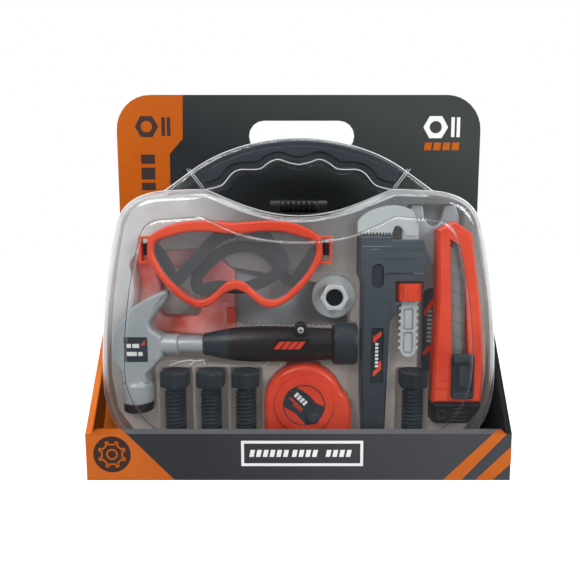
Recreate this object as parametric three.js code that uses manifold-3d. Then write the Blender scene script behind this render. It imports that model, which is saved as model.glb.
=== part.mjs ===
// A toy tool set in a clear carry case, standing in a folded display carton.
// Millimetres. X runs to the right, Y to the back and Z up.
// The origin is on the floor at the carton's middle.

import * as THREE from 'three';
import { mergeVertices } from 'three/addons/utils/BufferGeometryUtils.js';
import Module from 'manifold-3d';

const wasm = await Module();
wasm.setup();

// Fits and facets
const gap = 0.3; // clearance between pieces that seat on each other
const overrun = 3; // how far a cut runs past the face that it opens
const weldDistance = 0.0005;
const shortestSide = 0.05;
const flatness = 0.14; // how far a facet may stand off the curve that it follows
const curvePieces = 4;
const cornerPieces = 2;
const edgePieces = 1;
const caseEdgePieces = 2;
const roundSides = 18;
const smallSides = 10;

// Display carton
const cartonSideRoom = 1.7; // between the case and each gusset
const lipRoom = 2; // between the case and the lip
const cardRoom = 2.5; // between the case and the card
const cardRise = 49.7; // from the top of the case to the top of the card
const boardThickness = 1.5;
const lipHeight = 38.8;
const lipThickness = 11;
const gussetThickness = 4.8;
const gussetRise = 162;
const cardCornerRadius = 32;
const handSlotWidth = 98.5;
const handSlotHeight = 28;
const handSlotDrop = 23.2;
const handSlotShift = 2.8;

// Carry case
const caseSideRoom = 8.89; // outside the outermost tool
const caseTopRoom = 11; // over the tallest tool
const caseFrontRoom = 6.5; // before the foremost tool
const caseDepth = 83;
const partingY = 4.5;
const panelRaise = 3.5;
const caseWall = 1.6;
const caseEdge = 11;
const panelEdge = 4;
const archDepth = 37;
const archEdge = 3.4;
const footHeight = 3.5;
const footLength = 20;
const footWidth = 12;
const footX = 62;
const footInset = 14;
const caseBase = boardThickness + gap + footHeight;

// Bottom hinge of the case
const hingeLength = 90;
const knuckleCount = 5;
const knuckleRadius = 2.6;
const knuckleGap = 0.4;
const hingePinRadius = 1.2;
const hingeDrop = 0.6;

// Latch in the finger opening
const latchWidth = 47;
const latchTabWidth = 30;
const latchFront = -19;
const latchTabLength = 31;
const latchTabRadius = 5;
const latchBaseHeight = 2.2;
const latchPinRadius = 1.3;
const latchRibCount = 7;
const latchRibWidth = 1.6;
const latchRibDepth = 0.8;
const latchEarDepth = 12;
const catchDepth = 6;
const catchHeight = 2;

// Insert tray
const trayFront = -12.8;
const traySheet = 0.8;
const trayEdgeGap = 1;
const pocketGap = 0.9;
const pocketCorner = 1.5;
const traySkirtDepth = 23;
const trayFlangeFront = 5.4;

// Goggles
const goggleWidth = 141.4;
const goggleHeight = 70.7;
const goggleX = -51.4;
const goggleZ = 137;
const goggleFront = -30.5;
const goggleRim = 6;
const goggleDepth = 28.5;
const goggleEdge = 1.6;
const goggleSkirtWall = 2;
const goggleSkirtInset = 1.2;
const lensThickness = 1.5;
const lensSetback = 2;
const goggleLugWidth = 8;
const goggleLugHeight = 23;
const goggleLugBar = 2.2;
const goggleLugDepth = 6;
const goggleLugZ = 47;
const strapWidth = 8.5;
const strapThickness = 1.2;
const strapWindowGap = 0.8;
const strapTravel = 11.6;

// Hammer
const hammerX = -137;
const hammerZ = 104.2;
const hammerY = -16;
const headWidth = 47.6;
const headHeight = 79;
const headThickness = 18;
const headEdge = 1.4;
const headNeckDrop = 32.2;
const clawSlitWidth = 7;
const pollRadius = 13.2;
const pollHeight = 17.5;
const pollChamfer = 1.8;
const faceCapRadius = 12.4;
const faceCapHeight = 7;
const neckRadius = 10.8;
const collarRadius = 8.5;
const collarLength = 12.5;
const shaftRadius = 6.8;
const shaftReach = 12;
const shaftBore = 20;
const gripStart = 56.7;
const gripLength = 129.3;
const gripRadius = 17.8;
const gripBossRadius = 4.8;
const gripBossX = 82;
const gripBossZ = 11.5;
const gripBossReach = 11.5;
const gripScrewRadius = 2.6;
const gripScrewRecess = 1.6;
const gripScrewLength = 6;

// Hand saw behind the goggles
const sawHandleWidth = 88;
const sawHandleHeight = 78;
const sawHandleX = -143;
const sawHandleZ = 107;
const sawHandleThickness = 13;
const sawFront = 0;
const sawHandleEdge = 2.5;
const sawBladeLength = 98;
const sawBladeReach = 22;
const sawBladeHeight = 54;
const sawBladeTip = 34;
const sawBladeThickness = 2;
const sawBladeZ = 117;
const sawToothPitch = 4.5;
const sawToothDepth = 2.6;
const rivetRadius = 3.2;
const rivetHole = 3.6;
const rivetX = 12;
const rivetZ = 30;
const rivetPitch = 16;

// Bolts
const boltX = [-105.5, -75, -45.2, 97.6];
const boltY = -16;
const boltTop = 82.6;
const boltHeadWidth = 23.4;
const boltHeadHeight = 16.6;
const boltHeadChamfer = 1.6;
const boltNeckRadius = 7.2;
const boltNeckLength = 2;
const boltThreadRadius = 8.6;
const boltShankLength = 45.7;
const boltTipLength = 1.6;

// Flange nut
const nutX = 29.9;
const nutZ = 144.1;
const nutFront = -20;
const nutAcrossFlats = 23.2;
const nutHexDepth = 9.5;
const nutFlangeRadius = 18.4;
const nutFlangeDepth = 4.5;
const nutBoreRadius = 7.1;
const nutChamfer = 1;
const nutNotchWidth = 2.4;
const nutNotchDepth = 1.8;

// Tape measure
const tapeX = 4.5;
const tapeZ = 54.6;
const tapeRadius = 33.6;
const tapeRight = 40;
const tapeDrop = 36.5;
const tapeShoulderAngle = Math.PI / 9;
const tapeFront = -27;
const tapeDepth = 29;
const tapeEdge = 4;
const tapeWall = 2;
const tapeRingRadius = 25;
const tapeRingRaise = 1.8;
const tapeRingEdge = 1.6;
const tapeLabelRadius = 16.3;
const tapeLabelThickness = 0.8;
const tapeLabelSink = 0.6;
const tapeButtonX = 7.6;
const tapeButtonZ = -10.8;
const tapeButtonRadius = 4.4;
const tapeButtonProud = 1.9;
const tapeButtonLength = 5.2;
const tapeSpoolRadius = 27;
const tapeSpoolDepth = 16;
const tapeAxleRadius = 3.4;
const tapeHookThickness = 1;
const tapeHookHeight = 13;
const tapeHookWidth = 17;
const tapeBladeThickness = 0.6;
const tapeMouthRise = 7;
const tapeBladeReach = 12;

// Pipe wrench
const wrenchLeft = 49.4;
const wrenchBottom = 14;
const wrenchWidth = 58;
const wrenchHeight = 181.3;
const wrenchFront = -27;
const wrenchThickness = 18;
const wrenchEdge = 1.5;
const rackX = 91.7;
const rackY = -18;
const rackWidth = 13;
const rackThickness = 6;
const rackToothDepth = 1.6;
const rackToothPitch = 5.6;
const rackToothCount = 9;
const rackBottom = 94.2;
const rackPanelDepth = 0.9;
const jawHeight = 23;
const jawWidth = 47;
const jawThickness = 8;
const jawToothPitch = 2.6;
const jawToothDepth = 1.3;
const jawToothCount = 11;
const wrenchNutRadius = 10.6;
const wrenchNutBore = 9.1;
const wrenchNutHeight = 14.6;
const wrenchNutZ = 149.4;
const wrenchNutRibs = 18;
const wrenchNutRibDepth = 0.5;
const wrenchSlotX = 64.6;
const wrenchSlotZ = 163;
const wrenchSlotWidth = 10.5;
const wrenchSlotHeight = 20;
const wrenchRecess = 1.5;
const wrenchLabelX = 65;
const wrenchLabelZ = 97;
const wrenchLabelWidth = 10;
const wrenchLabelHeight = 46;
const wrenchRidge = 1;
const wrenchRidgeLength = 34.8;

// Spanner behind the pipe wrench
const spannerX = 113.6;
const spannerBottom = 76;
const spannerLength = 145;
const spannerHeadWidth = 46;
const spannerFront = -7.4;
const spannerThickness = 7;
const spannerEdge = 1;
const spannerHoleRadius = 4;
const spannerHoleRise = 62;
const spannerLabelWidth = 9;
const spannerLabelHeight = 46;
const spannerLabelRise = 8;
const spannerRecess = 0.8;

// Snap-off cutter
const cutterLeft = 112.2;
const cutterBottom = 56;
const cutterWidth = 42;
const cutterHeight = 151.4;
const cutterFront = -26;
const cutterThickness = 16;
const cutterEdge = 2;
const cutterWindowDepth = 7;
const bladeWidth = 13.6;
const bladeThickness = 1;
const bladeBottom = 84;
const bladeTop = 196;
const bladeFrontSetback = 5.2;
const bladeX = 131.6;
const channelWidth = 15.4;
const channelThickness = 3.4;
const sliderX = 136.2;
const sliderBottom = 60.4;
const sliderWidth = 18.4;
const sliderHeight = 38;
const sliderProud = 3.6;
const sliderNeckWidth = 6;
const sliderSlotWidth = 7;
const sliderSlotHeight = 56;
const sliderPadInset = 2.4;
const sliderPadHeight = 24;
const sliderPadDepth = 1;
const endCapHeight = 18.5;
const endCapStripWidth = 11;
const endCapRibPitch = 3.4;
const endCapRibDepth = 0.8;
const cutterScrewX = 8;
const cutterScrewDrop = 9.6;
const cutterScrewRadius = 2.8;
const cutterScrewRecess = 0.6;
const cutterScrewLength = 6;
const gripLineCount = 3;
const gripLinePitch = 6.8;
const gripLineLength = 8;
const gripLineHeight = 1.6;
const gripLineDepth = 0.7;
const gripLineRise = 11;

// Outlines in shares of the piece's own width and height.
// A row of two is a line's end, four a curve with one handle, and six a curve with two.
const caseShoulderShare = 0.839;
const bodyShares = [
  [0, 0], [0.43, 0], [0.856, 0, 1, 0.084, 1, 0.269], [1, 0.4245, 0.954, 0.617, 0.902, 0.739],
  [0.8716, 0.8057, 0.777, 0.837, 0.624, caseShoulderShare], [0.465, 0.8427],
  [0.367, 0.8242, 0.214, 0.765, 0, 0.765],
];
const panelShares = [
  [0, 0.062], [0.43, 0.062], [0.7, 0.062, 0.866, 0.16, 0.869, 0.3], [0.869, 0.43, 0.826, 0.59, 0.777, 0.69],
  [0.758, 0.735, 0.722, 0.754, 0.636, 0.754], [0.465, 0.7613], [0.367, 0.735, 0.269, 0.689, 0, 0.689],
];
const waveShares = [
  [0, 0.9178], [0.049, 0.9234], [0.104, 0.9334], [0.153, 0.9223], [0.19, 0.9064], [0.2385, 0.9031],
  [0.2936, 0.9031], [0.3364, 0.8908], [0.379, 0.8605], [0.416, 0.8501], [0.465, 0.8438],
];
const archShares = [
  [0.49, 0.81], [0.636, 0.81], [0.633, 0.8335], [0.514, 0.898], [0.379, 0.965, 0.183, 1, 0, 1],
];
const gripEndShares = [[0.4, 0.8], [0.545, 0.98], [0.9, 0.98], [0.9, 0.8]];
const goggleOuterShares = [
  [0, 0.976], [0.21, 0.993], [0.424, 1], [0.65, 0.976], [0.835, 0.912], [0.972, 0.813], [1, 0.68],
  [0.983, 0.55],
  [0.85, 0.325], [0.665, 0.125], [0.51, 0.026], [0.396, 0], [0.27, 0.042], [0.134, 0.163], [0, 0.216],
];
const goggleInnerShares = [
  [0, 0.85], [0.14, 0.857], [0.31, 0.877], [0.54, 0.87], [0.76, 0.814], [0.9, 0.76], [0.92, 0.62],
  [0.82, 0.41],
  [0.65, 0.22], [0.537, 0.127], [0.41, 0.092], [0.283, 0.141], [0.113, 0.29], [0, 0.322],
];
// Each row gives the strap's place across, up and in depth
const strapShares = [
  [-1.1, 0.665, 0], [-0.94, 0.66, 0], [-0.62, 0.5, 0.1], [-0.36, 0.34, 0.2], [-0.16, 0.62, 0.3],
  [0.06, 0.83, 0.4],
  [0.34, 0.74, 0.5], [0.42, 0.5, 0.6], [0.2, 0.36, 0.7], [-0.2, 0.38, 0.8], [-0.3, 0.52, 0.9],
  [0.02, 0.68, 1],
  [0.4, 0.6, 1], [0.62, 0.4, 0.8], [0.8, 0.54, 0.3], [0.94, 0.66, 0], [1.1, 0.665, 0],
];
const headShares = [
  [0.13, 0], [0.126, 0.134], [0, 0.216], [0.002, 0.532], [0.05, 0.604], [0.23, 0.739, 0.32, 0.801],
  [0.6, 0.925, 0.84, 0.985], [1.03, 1.03, 0.99, 0.93], [0.8, 0.781],
  [0.66, 0.69, 0.655, 0.638], [0.66, 0.59, 0.7, 0.568], [0.862, 0.506], [0.862, 0.289],
  [0.56, 0.096], [0.594, 0],
];
const headCentreShare = 0.37;
const headCollarShare = 0.6;
const headShoulderShare = 0.862;
const clawSlitShare = 0.72;
const gripShares = [
  [0, 0], [0.5, 0], [0.55, 0.012], [0.55, 0.035], [0.58, 0.045], [0.72, 0.14], [0.82, 0.25], [0.86, 0.4],
  [0.82, 0.62], [0.76, 0.8], [0.75, 0.835], [0.96, 0.85], [1, 0.88], [1, 0.975], [0.94, 1], [0, 1],
];
const gripFlattenShare = 0.8;
const sawToothShare = 0.7;
const sawHandleShares = [
  [1, 0.1], [1, 0.74], [0.8, 0.98], [0.5, 1, 0.2, 0.97], [0.02, 0.95, 0.02, 0.8], [0.1, 0.55, 0, 0.25],
  [0, 0.1, 0.12, 0.08], [0.5, 0, 0.84, 0.02],
];
const sawHoleShares = [
  [0.3, 0.24], [0.6, 0.24], [0.66, 0.3, 0.64, 0.45], [0.62, 0.7, 0.5, 0.76], [0.3, 0.8, 0.24, 0.7],
  [0.32, 0.5, 0.24, 0.32], [0.24, 0.24, 0.3, 0.24],
];
const wrenchShares = [
  [0.09, 0], [0.39, 0], [0.445, 0.6], [0.47, 0.625], [0.56, 0.655, 0.6, 0.702], [0.525, 0.702],
  [0.525, 0.792],
  [0.93, 0.792], [0.935, 0.86], [1, 0.897], [0.935, 0.945], [0.89, 0.985], [0.46, 0.985], [0.46, 1], [0, 1],
  [0, 0.83], [0.048, 0.79], [0.048, 0.3],
];
const wrenchRidgeShares = [[0.158, 0.83], [0.228, 0.9], [0.268, 0.94]];
const jawShares = [
  [0, 0.06], [0, 0.45], [0.12, 0.84, 0.45, 0.98], [0.7, 1.08, 0.92, 0.86], [1, 0.72, 1, 0.45], [1, -0.1],
  [0.82, -0.1], [0.8, 0.14], [0.72, 0.3], [0.64, 0.28], [0.6, 0.06],
];
const spannerShares = [
  [0.34, 0], [0.5, -0.012, 0.66, 0], [0.66, 0.66], [0.7, 0.76, 0.94, 0.82], [1, 0.88, 0.98, 0.93], [0.9, 1],
  [0.7, 1], [0.66, 0.93], [0.6, 0.88, 0.5, 0.88], [0.4, 0.88, 0.34, 0.93], [0.3, 1], [0.1, 1],
  [0.02, 0.93], [0, 0.88, 0.06, 0.82], [0.3, 0.76, 0.34, 0.66],
];
const spannerHeadShare = 0.68;
const cutterShares = [
  [0, 0], [0.974, 0], [0.998, 0.147], [0.99, 0.272], [0.945, 0.424], [0.895, 0.548], [0.71, 0.888],
  [0.683, 0.934], [0.36, 1, 0.32, 1], [0.012, 0.954], [0.06, 0.572], [0.01, 0.24],
];
const windowShares = [[0.36, 0.2], [0.24, 0.905], [0.44, 0.874], [0.58, 0.707], [0.625, 0.522], [0.7, 0.2]];
const endCapShares = [[0.1, 0.02], [0.7, 0.02], [0.76, 0.06], [0.97, 0.7], [0.974, 1], [0, 1], [0, 0.14]];

// The case goes round its tools, and the carton round the case
const headLeft = hammerX - headWidth * headCentreShare;
const caseSide = Math.max(cutterLeft + cutterWidth, -headLeft) + caseSideRoom;
const caseFront = goggleFront - caseFrontRoom;
const caseBack = caseFront + caseDepth;
const toolTop = spannerBottom + spannerLength;
const caseHeight = (toolTop + caseTopRoom - caseBase) / caseShoulderShare;
const cartonSide = caseSide + cartonSideRoom + gussetThickness;
const cartonWidth = 2 * cartonSide;
const cartonFront = caseFront - lipRoom - lipThickness;
const cartonBack = caseBack + cardRoom + boardThickness;
const cardHeight = caseBase + caseHeight + cardRise;

function finish(color, roughness, metalness = 0, opacity = 1) {
  return new THREE.MeshStandardMaterial({ color, roughness, metalness, opacity, transparent: opacity < 1 });
}

const printedCard = finish('#36393b', 0.55);
const clearPlastic = finish('#e6edf0', 0.08, 0, 0.3);
const blackPlastic = finish('#23282d', 0.42);
const slatePlastic = finish('#2f373f', 0.4);
const orangePlastic = finish('#e3431f', 0.38);
const greyPlastic = finish('#a9aeb1', 0.35);
const bladePlastic = finish('#74777a', 0.4);
const strapElastic = finish('#4a5158', 0.85);
const lensPlastic = finish('#dfe6ea', 0.06, 0, 0.3);
const screwSteel = finish('#9a9ea2', 0.3, 1);
const labelPaper = finish('#39424b', 0.5);

// Solids from three.js geometry, and back

function solidOf(geometry) {
  const bare = geometry.index ? geometry.toNonIndexed() : geometry.clone();
  for (const name of Object.keys(bare.attributes)) {
    if (name !== 'position') bare.deleteAttribute(name);
  }
  const merged = mergeVertices(bare, weldDistance);
  const corners = Float32Array.from(merged.attributes.position.array);
  const source = merged.index.array;
  const faces = [];
  const at = (vertex) => new THREE.Vector3().fromArray(corners, 3 * vertex);
  let volume = 0;
  for (let face = 0; face < source.length; face += 3) {
    const [a, b, c] = source.slice(face, face + 3);
    if (a === b || b === c || c === a) continue;
    faces.push([a, b, c]);
    volume += at(a).dot(at(b).cross(at(c)));
  }
  const triVerts = Uint32Array.from(faces.flatMap(([a, b, c]) => (volume < 0 ? [a, c, b] : [a, b, c])));
  return new wasm.Manifold(new wasm.Mesh({ numProp: 3, vertProperties: corners, triVerts }));
}

function meshOf(name, solid, material) {
  const { vertProperties, triVerts } = solid.getMesh();
  const geometry = new THREE.BufferGeometry();
  geometry.setAttribute('position', new THREE.BufferAttribute(Float32Array.from(vertProperties), 3));
  geometry.setIndex(new THREE.BufferAttribute(Uint32Array.from(triVerts), 1));
  geometry.computeVertexNormals();
  const mesh = new THREE.Mesh(geometry, material);
  mesh.name = name;
  return mesh;
}

function joined(...solids) {
  return solids.reduce((whole, solid) => whole.add(solid));
}

// Outlines in the XZ plane

function traced(shares, width, height, pieces = curvePieces) {
  const path = new THREE.Path();
  shares.forEach((row, index) => {
    const step = row.map((share, place) => share * (place % 2 ? height : width));
    if (index === 0) path.moveTo(...step);
    else if (step.length === 2) path.lineTo(...step);
    else if (step.length === 4) path.quadraticCurveTo(...step);
    else path.bezierCurveTo(...step);
  });
  return path.getPoints(pieces);
}

function splined(shares, width, height, pieces) {
  const spline = new THREE.SplineCurve(shares.map(([x, z]) => new THREE.Vector2(x * width, z * height)));
  return spline.getPoints(pieces * (shares.length - 1));
}

function mirrored(half) {
  const other = half.filter((point) => point.x > weldDistance);
  return [...half, ...other.map((point) => new THREE.Vector2(-point.x, point.y)).reverse()];
}

function placed(points, x, z) {
  return points.map((point) => new THREE.Vector2(point.x + x, point.y + z));
}

function rounded(left, right, bottom, top, radius) {
  const shape = new THREE.Path();
  shape.moveTo(left + radius, bottom);
  shape.lineTo(right - radius, bottom);
  shape.absarc(right - radius, bottom + radius, radius, -Math.PI / 2, 0);
  shape.absarc(right - radius, top - radius, radius, 0, Math.PI / 2);
  shape.absarc(left + radius, top - radius, radius, Math.PI / 2, Math.PI);
  shape.absarc(left + radius, bottom + radius, radius, Math.PI, 1.5 * Math.PI);
  return shape.getPoints(cornerPieces);
}

// Solids from outlines: a slab stands in the XZ plane and is as deep as its front and back say

function wound(points, clockwise) {
  const apart = points.filter((point, index) => {
    const before = points[(index + points.length - 1) % points.length];
    return point.distanceTo(before) > shortestSide;
  });
  return THREE.ShapeUtils.isClockWise(apart) === clockwise ? apart : apart.reverse();
}

function thinned(points, tolerance) {
  const kept = [...points];
  for (let index = kept.length - 1; index >= 0; index -= 1) {
    const before = kept[(index + kept.length - 1) % kept.length];
    const after = kept[(index + 1) % kept.length];
    const chord = after.clone().sub(before);
    const span = Math.max(chord.length(), shortestSide);
    const offset = Math.abs(chord.cross(kept[index].clone().sub(before))) / span;
    if (offset < tolerance) {
      kept.splice(index, 1);
      index -= 1;
    }
  }
  return kept;
}

function grown(loop, distance) {
  return loop.map((point, index) => {
    const before = loop[(index + loop.length - 1) % loop.length];
    const after = loop[(index + 1) % loop.length];
    const arriving = point.clone().sub(before).normalize();
    const leaving = after.clone().sub(point).normalize();
    const outward = new THREE.Vector2(arriving.y + leaving.y, -arriving.x - leaving.x);
    const reach = (2 * distance) / Math.max(outward.lengthSq(), 1);
    return point.clone().addScaledVector(outward, reach);
  });
}

// Each end of a slab rounds off over its edge, ring by ring
function slabRings(front, back, edge, grow, pieces) {
  if (edge === 0) {
    return [
      { y: front, out: grow },
      { y: back, out: grow },
    ];
  }
  const rings = [];
  for (let piece = 0; piece <= pieces; piece += 1) {
    const angle = (piece / pieces) * (Math.PI / 2);
    rings.push({ y: front + edge * (1 - Math.cos(angle)), out: grow - edge * (1 - Math.sin(angle)) });
  }
  const ends = rings.map((ring) => ({ y: front + back - ring.y, out: ring.out })).reverse();
  return [...rings, ...ends];
}

function slab(points, front, back, { edge = 0, grow = 0, holes = [], pieces = edgePieces } = {}) {
  const outline = wound(thinned(wound(points, false), flatness), false);
  const openings = holes.map((hole) => wound(thinned(wound(hole, true), flatness), true));
  const loops = [outline, ...openings];
  const count = loops.reduce((sum, loop) => sum + loop.length, 0);
  const rings = slabRings(front, back, edge, grow, pieces);
  const corners = [];
  for (const ring of rings) {
    for (const point of loops.flatMap((loop) => grown(loop, ring.out))) {
      corners.push(point.x, ring.y, point.y);
    }
  }
  const faces = [];
  const caps = THREE.ShapeUtils.triangulateShape([...outline], openings.map((hole) => [...hole]));
  const last = (rings.length - 1) * count;
  for (const [a, b, c] of caps) faces.push(c, b, a, last + a, last + b, last + c);
  for (let ring = 0; ring < rings.length - 1; ring += 1) {
    let start = ring * count;
    for (const loop of loops) {
      for (let side = 0; side < loop.length; side += 1) {
        const near = start + side;
        const next = start + ((side + 1) % loop.length);
        faces.push(near, next, next + count, near, next + count, near + count);
      }
      start += loop.length;
    }
  }
  const geometry = new THREE.BufferGeometry();
  geometry.setAttribute('position', new THREE.BufferAttribute(Float32Array.from(corners), 3));
  geometry.setIndex(faces);
  return solidOf(geometry);
}

function sidePlate(points, left, right) {
  const depth = right - left;
  const geometry = new THREE.ExtrudeGeometry(new THREE.Shape(points), { depth, bevelEnabled: false });
  const turn = new THREE.Matrix4().makeBasis(
    new THREE.Vector3(0, 1, 0),
    new THREE.Vector3(0, 0, 1),
    new THREE.Vector3(1, 0, 0),
  );
  geometry.applyMatrix4(turn);
  geometry.translate(left, 0, 0);
  return solidOf(geometry);
}

function block(left, right, front, back, bottom, top) {
  const geometry = new THREE.BoxGeometry(right - left, back - front, top - bottom);
  geometry.translate((left + right) / 2, (front + back) / 2, (bottom + top) / 2);
  return solidOf(geometry);
}

function rodX(radius, left, right, y, z, sides = roundSides) {
  const geometry = new THREE.CylinderGeometry(radius, radius, right - left, sides);
  geometry.rotateZ(Math.PI / 2);
  return solidOf(geometry.translate((left + right) / 2, y, z));
}

function rodY(radius, front, back, x, z, sides = roundSides) {
  const geometry = new THREE.CylinderGeometry(radius, radius, back - front, sides);
  return solidOf(geometry.translate(x, (front + back) / 2, z));
}

function rodZ(radius, bottom, top, x, y, sides = roundSides) {
  const geometry = new THREE.CylinderGeometry(radius, radius, top - bottom, sides);
  geometry.rotateX(Math.PI / 2);
  return solidOf(geometry.translate(x, y, (bottom + top) / 2));
}

function turnedZ(profile, x, y, z, sides = roundSides) {
  const geometry = new THREE.LatheGeometry(profile.map((row) => new THREE.Vector2(...row)), sides);
  geometry.rotateX(Math.PI / 2);
  return solidOf(geometry.translate(x, y, z));
}

function turnedX(profile, x, y, z, flatten, sides = roundSides) {
  const geometry = new THREE.LatheGeometry(profile.map((row) => new THREE.Vector2(...row)), sides);
  geometry.rotateZ(-Math.PI / 2);
  geometry.rotateX(Math.PI / 2);
  geometry.scale(1, flatten, 1);
  return solidOf(geometry.translate(x, y, z));
}

function hexagon(acrossFlats) {
  const corner = acrossFlats / Math.sqrt(3);
  return Array.from({ length: 6 }, (_, side) => {
    const angle = (side * Math.PI) / 3;
    return new THREE.Vector2(corner * Math.cos(angle), corner * Math.sin(angle));
  });
}

// Display carton: one card folded into a back panel, floor, double-wall lip and two gussets

function displayCarton() {
  const panel = new THREE.Path();
  panel.moveTo(-cartonSide, 0);
  panel.lineTo(cartonSide, 0);
  const turnX = cartonSide - cardCornerRadius;
  const turnZ = cardHeight - cardCornerRadius;
  panel.absarc(turnX, turnZ, cardCornerRadius, 0, Math.PI / 2);
  panel.absarc(-turnX, turnZ, cardCornerRadius, Math.PI / 2, Math.PI);
  const slotTop = cardHeight - handSlotDrop;
  const slot = rounded(
    handSlotShift - handSlotWidth / 2,
    handSlotShift + handSlotWidth / 2,
    slotTop - handSlotHeight,
    slotTop,
    handSlotHeight / 2 - weldDistance,
  );
  const cardFront = cartonBack - boardThickness;
  const back = slab(panel.getPoints(curvePieces), cardFront, cartonBack, { holes: [slot] });
  const floor = block(-cartonSide, cartonSide, cartonFront, cartonBack, 0, boardThickness);
  const lipOuter = block(-cartonSide, cartonSide, cartonFront, cartonFront + boardThickness, 0, lipHeight);
  const lipBack = cartonFront + lipThickness;
  const lipTop = block(-cartonSide, cartonSide, cartonFront, lipBack, lipHeight - boardThickness, lipHeight);
  const lipInner = block(
    -cartonSide,
    cartonSide,
    lipBack - boardThickness,
    lipBack,
    boardThickness + gap,
    lipHeight,
  );
  const profile = [
    [cartonFront, 0],
    [cartonBack, 0],
    [cartonBack, lipHeight + gussetRise],
    [cartonFront, lipHeight],
  ].map(([y, z]) => new THREE.Vector2(y, z));
  const gussets = [-1, 1].map((side) => {
    const outer = side * cartonSide;
    const inner = side * (cartonSide - gussetThickness);
    return sidePlate(profile, Math.min(outer, inner), Math.max(outer, inner));
  });
  return joined(back, floor, lipOuter, lipTop, lipInner, ...gussets);
}

// Carry case: two clear shells that meet on the parting plane, hinged along the bottom

const shoulderFront = caseFront + panelRaise;
const shoulderBack = caseBack - panelRaise;
const archFront = partingY - archDepth / 2;
const archBack = partingY + archDepth / 2;
const hingeZ = caseBase - hingeDrop;
const bodyOutline = placed(mirrored(traced(bodyShares, caseSide, caseHeight)), 0, caseBase);
const panelOutline = placed(mirrored(traced(panelShares, caseSide, caseHeight)), 0, caseBase);
const archInner = splined(waveShares, caseSide, caseHeight, 2);
const archOuter = traced(archShares, caseSide, caseHeight);
const archOutline = placed(mirrored([...archInner, ...archOuter]), 0, caseBase);

function caseForm(inset) {
  const grow = -inset;
  const round = (edge) => ({ edge: edge - inset, grow, pieces: caseEdgePieces });
  const body = slab(bodyOutline, shoulderFront + inset, shoulderBack - inset, round(caseEdge));
  const panel = slab(panelOutline, caseFront + inset, caseBack - inset, round(panelEdge));
  const arch = slab(archOutline, archFront + inset, archBack - inset, round(archEdge));
  return joined(body, panel, arch);
}

function caseHalf(front, back) {
  return block(-cartonWidth, cartonWidth, front, back, -cartonWidth, cardHeight + cartonWidth);
}

function caseShells() {
  const shell = caseForm(0).subtract(caseForm(caseWall));
  let front = shell.intersect(caseHalf(caseFront - overrun, partingY - gap / 2));
  let back = shell.intersect(caseHalf(partingY + gap / 2, caseBack + overrun));
  for (const side of [-1, 1]) {
    const left = side * footX - footLength / 2;
    const right = side * footX + footLength / 2;
    const top = caseBase + caseWall / 2;
    const frontFoot = partingY - footInset;
    const backFoot = partingY + footInset;
    front = front.add(block(left, right, frontFoot - footWidth, frontFoot, caseBase - footHeight, top));
    back = back.add(block(left, right, backFoot, backFoot + footWidth, caseBase - footHeight, top));
  }
  const pitch = hingeLength / knuckleCount;
  for (let knuckle = 0; knuckle < knuckleCount; knuckle += 1) {
    const left = -hingeLength / 2 + knuckle * pitch;
    const right = left + pitch;
    const half = knuckleGap / 2;
    const barrel = rodX(knuckleRadius, left + half, right - half, partingY, hingeZ, smallSides);
    const relief = rodX(knuckleRadius + knuckleGap, left, right, partingY, hingeZ, smallSides);
    const onBack = knuckle % 2 === 0;
    front = onBack ? front.subtract(relief) : front.add(barrel);
    back = onBack ? back.add(barrel) : back.subtract(relief);
  }
  const reach = hingeLength / 2 + gap;
  const bore = rodX(hingePinRadius + gap, -reach, reach, partingY, hingeZ, smallSides);
  return { front: front.subtract(bore), back: back.subtract(bore) };
}

function hingePin() {
  return rodX(hingePinRadius, -hingeLength / 2, hingeLength / 2, partingY, hingeZ, smallSides);
}

function handleGrip() {
  const inset = caseWall + gap;
  const soft = { edge: archEdge - inset, grow: -inset };
  const filler = slab(archOutline, archFront + inset, archBack - inset, soft);
  const end = placed(traced(gripEndShares, caseSide, caseHeight), 0, caseBase);
  const otherEnd = end.map((point) => new THREE.Vector2(-point.x, point.y));
  const front = archFront - overrun;
  const back = archBack + overrun;
  return filler.subtract(slab(end, front, back)).subtract(slab(otherEnd, front, back));
}

// Latch: a ribbed tab pinned between the two ears of its bracket on the front shell

const latchSeatZ = caseBase + caseHeight * bodyShares.at(-1).at(-1);
const latchTabBottom = latchSeatZ + gap + latchBaseHeight + gap;
const latchAxisY = latchFront + latchTabRadius;
const latchAxisZ = latchTabBottom + latchTabRadius;

function caseClearance() {
  return slab(bodyOutline, shoulderFront - overrun, shoulderBack + overrun, { grow: gap });
}

function latchBracket() {
  const side = latchWidth / 2;
  const base = block(-side, side, latchFront, partingY - gap, latchSeatZ - overrun, latchTabBottom - gap);
  const earWidth = (latchWidth - latchTabWidth) / 2 - gap;
  const ears = [-1, 1].map((hand) => {
    const outer = hand * side;
    const inner = hand * (side - earWidth);
    const left = Math.min(outer, inner);
    const right = Math.max(outer, inner);
    const foot = block(left, right, latchFront, latchFront + latchEarDepth, latchSeatZ, latchAxisZ);
    const nose = rodX(latchTabRadius, left, right, latchAxisY, latchAxisZ, smallSides);
    const rearY = latchFront + latchEarDepth - latchTabRadius;
    const rear = rodX(latchTabRadius, left, right, rearY, latchAxisZ, smallSides);
    return joined(foot, nose, rear);
  });
  const reach = side + overrun;
  const bore = rodX(latchPinRadius + gap, -reach, reach, latchAxisY, latchAxisZ, smallSides);
  return joined(base, ...ears).subtract(bore).subtract(caseClearance());
}

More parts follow.
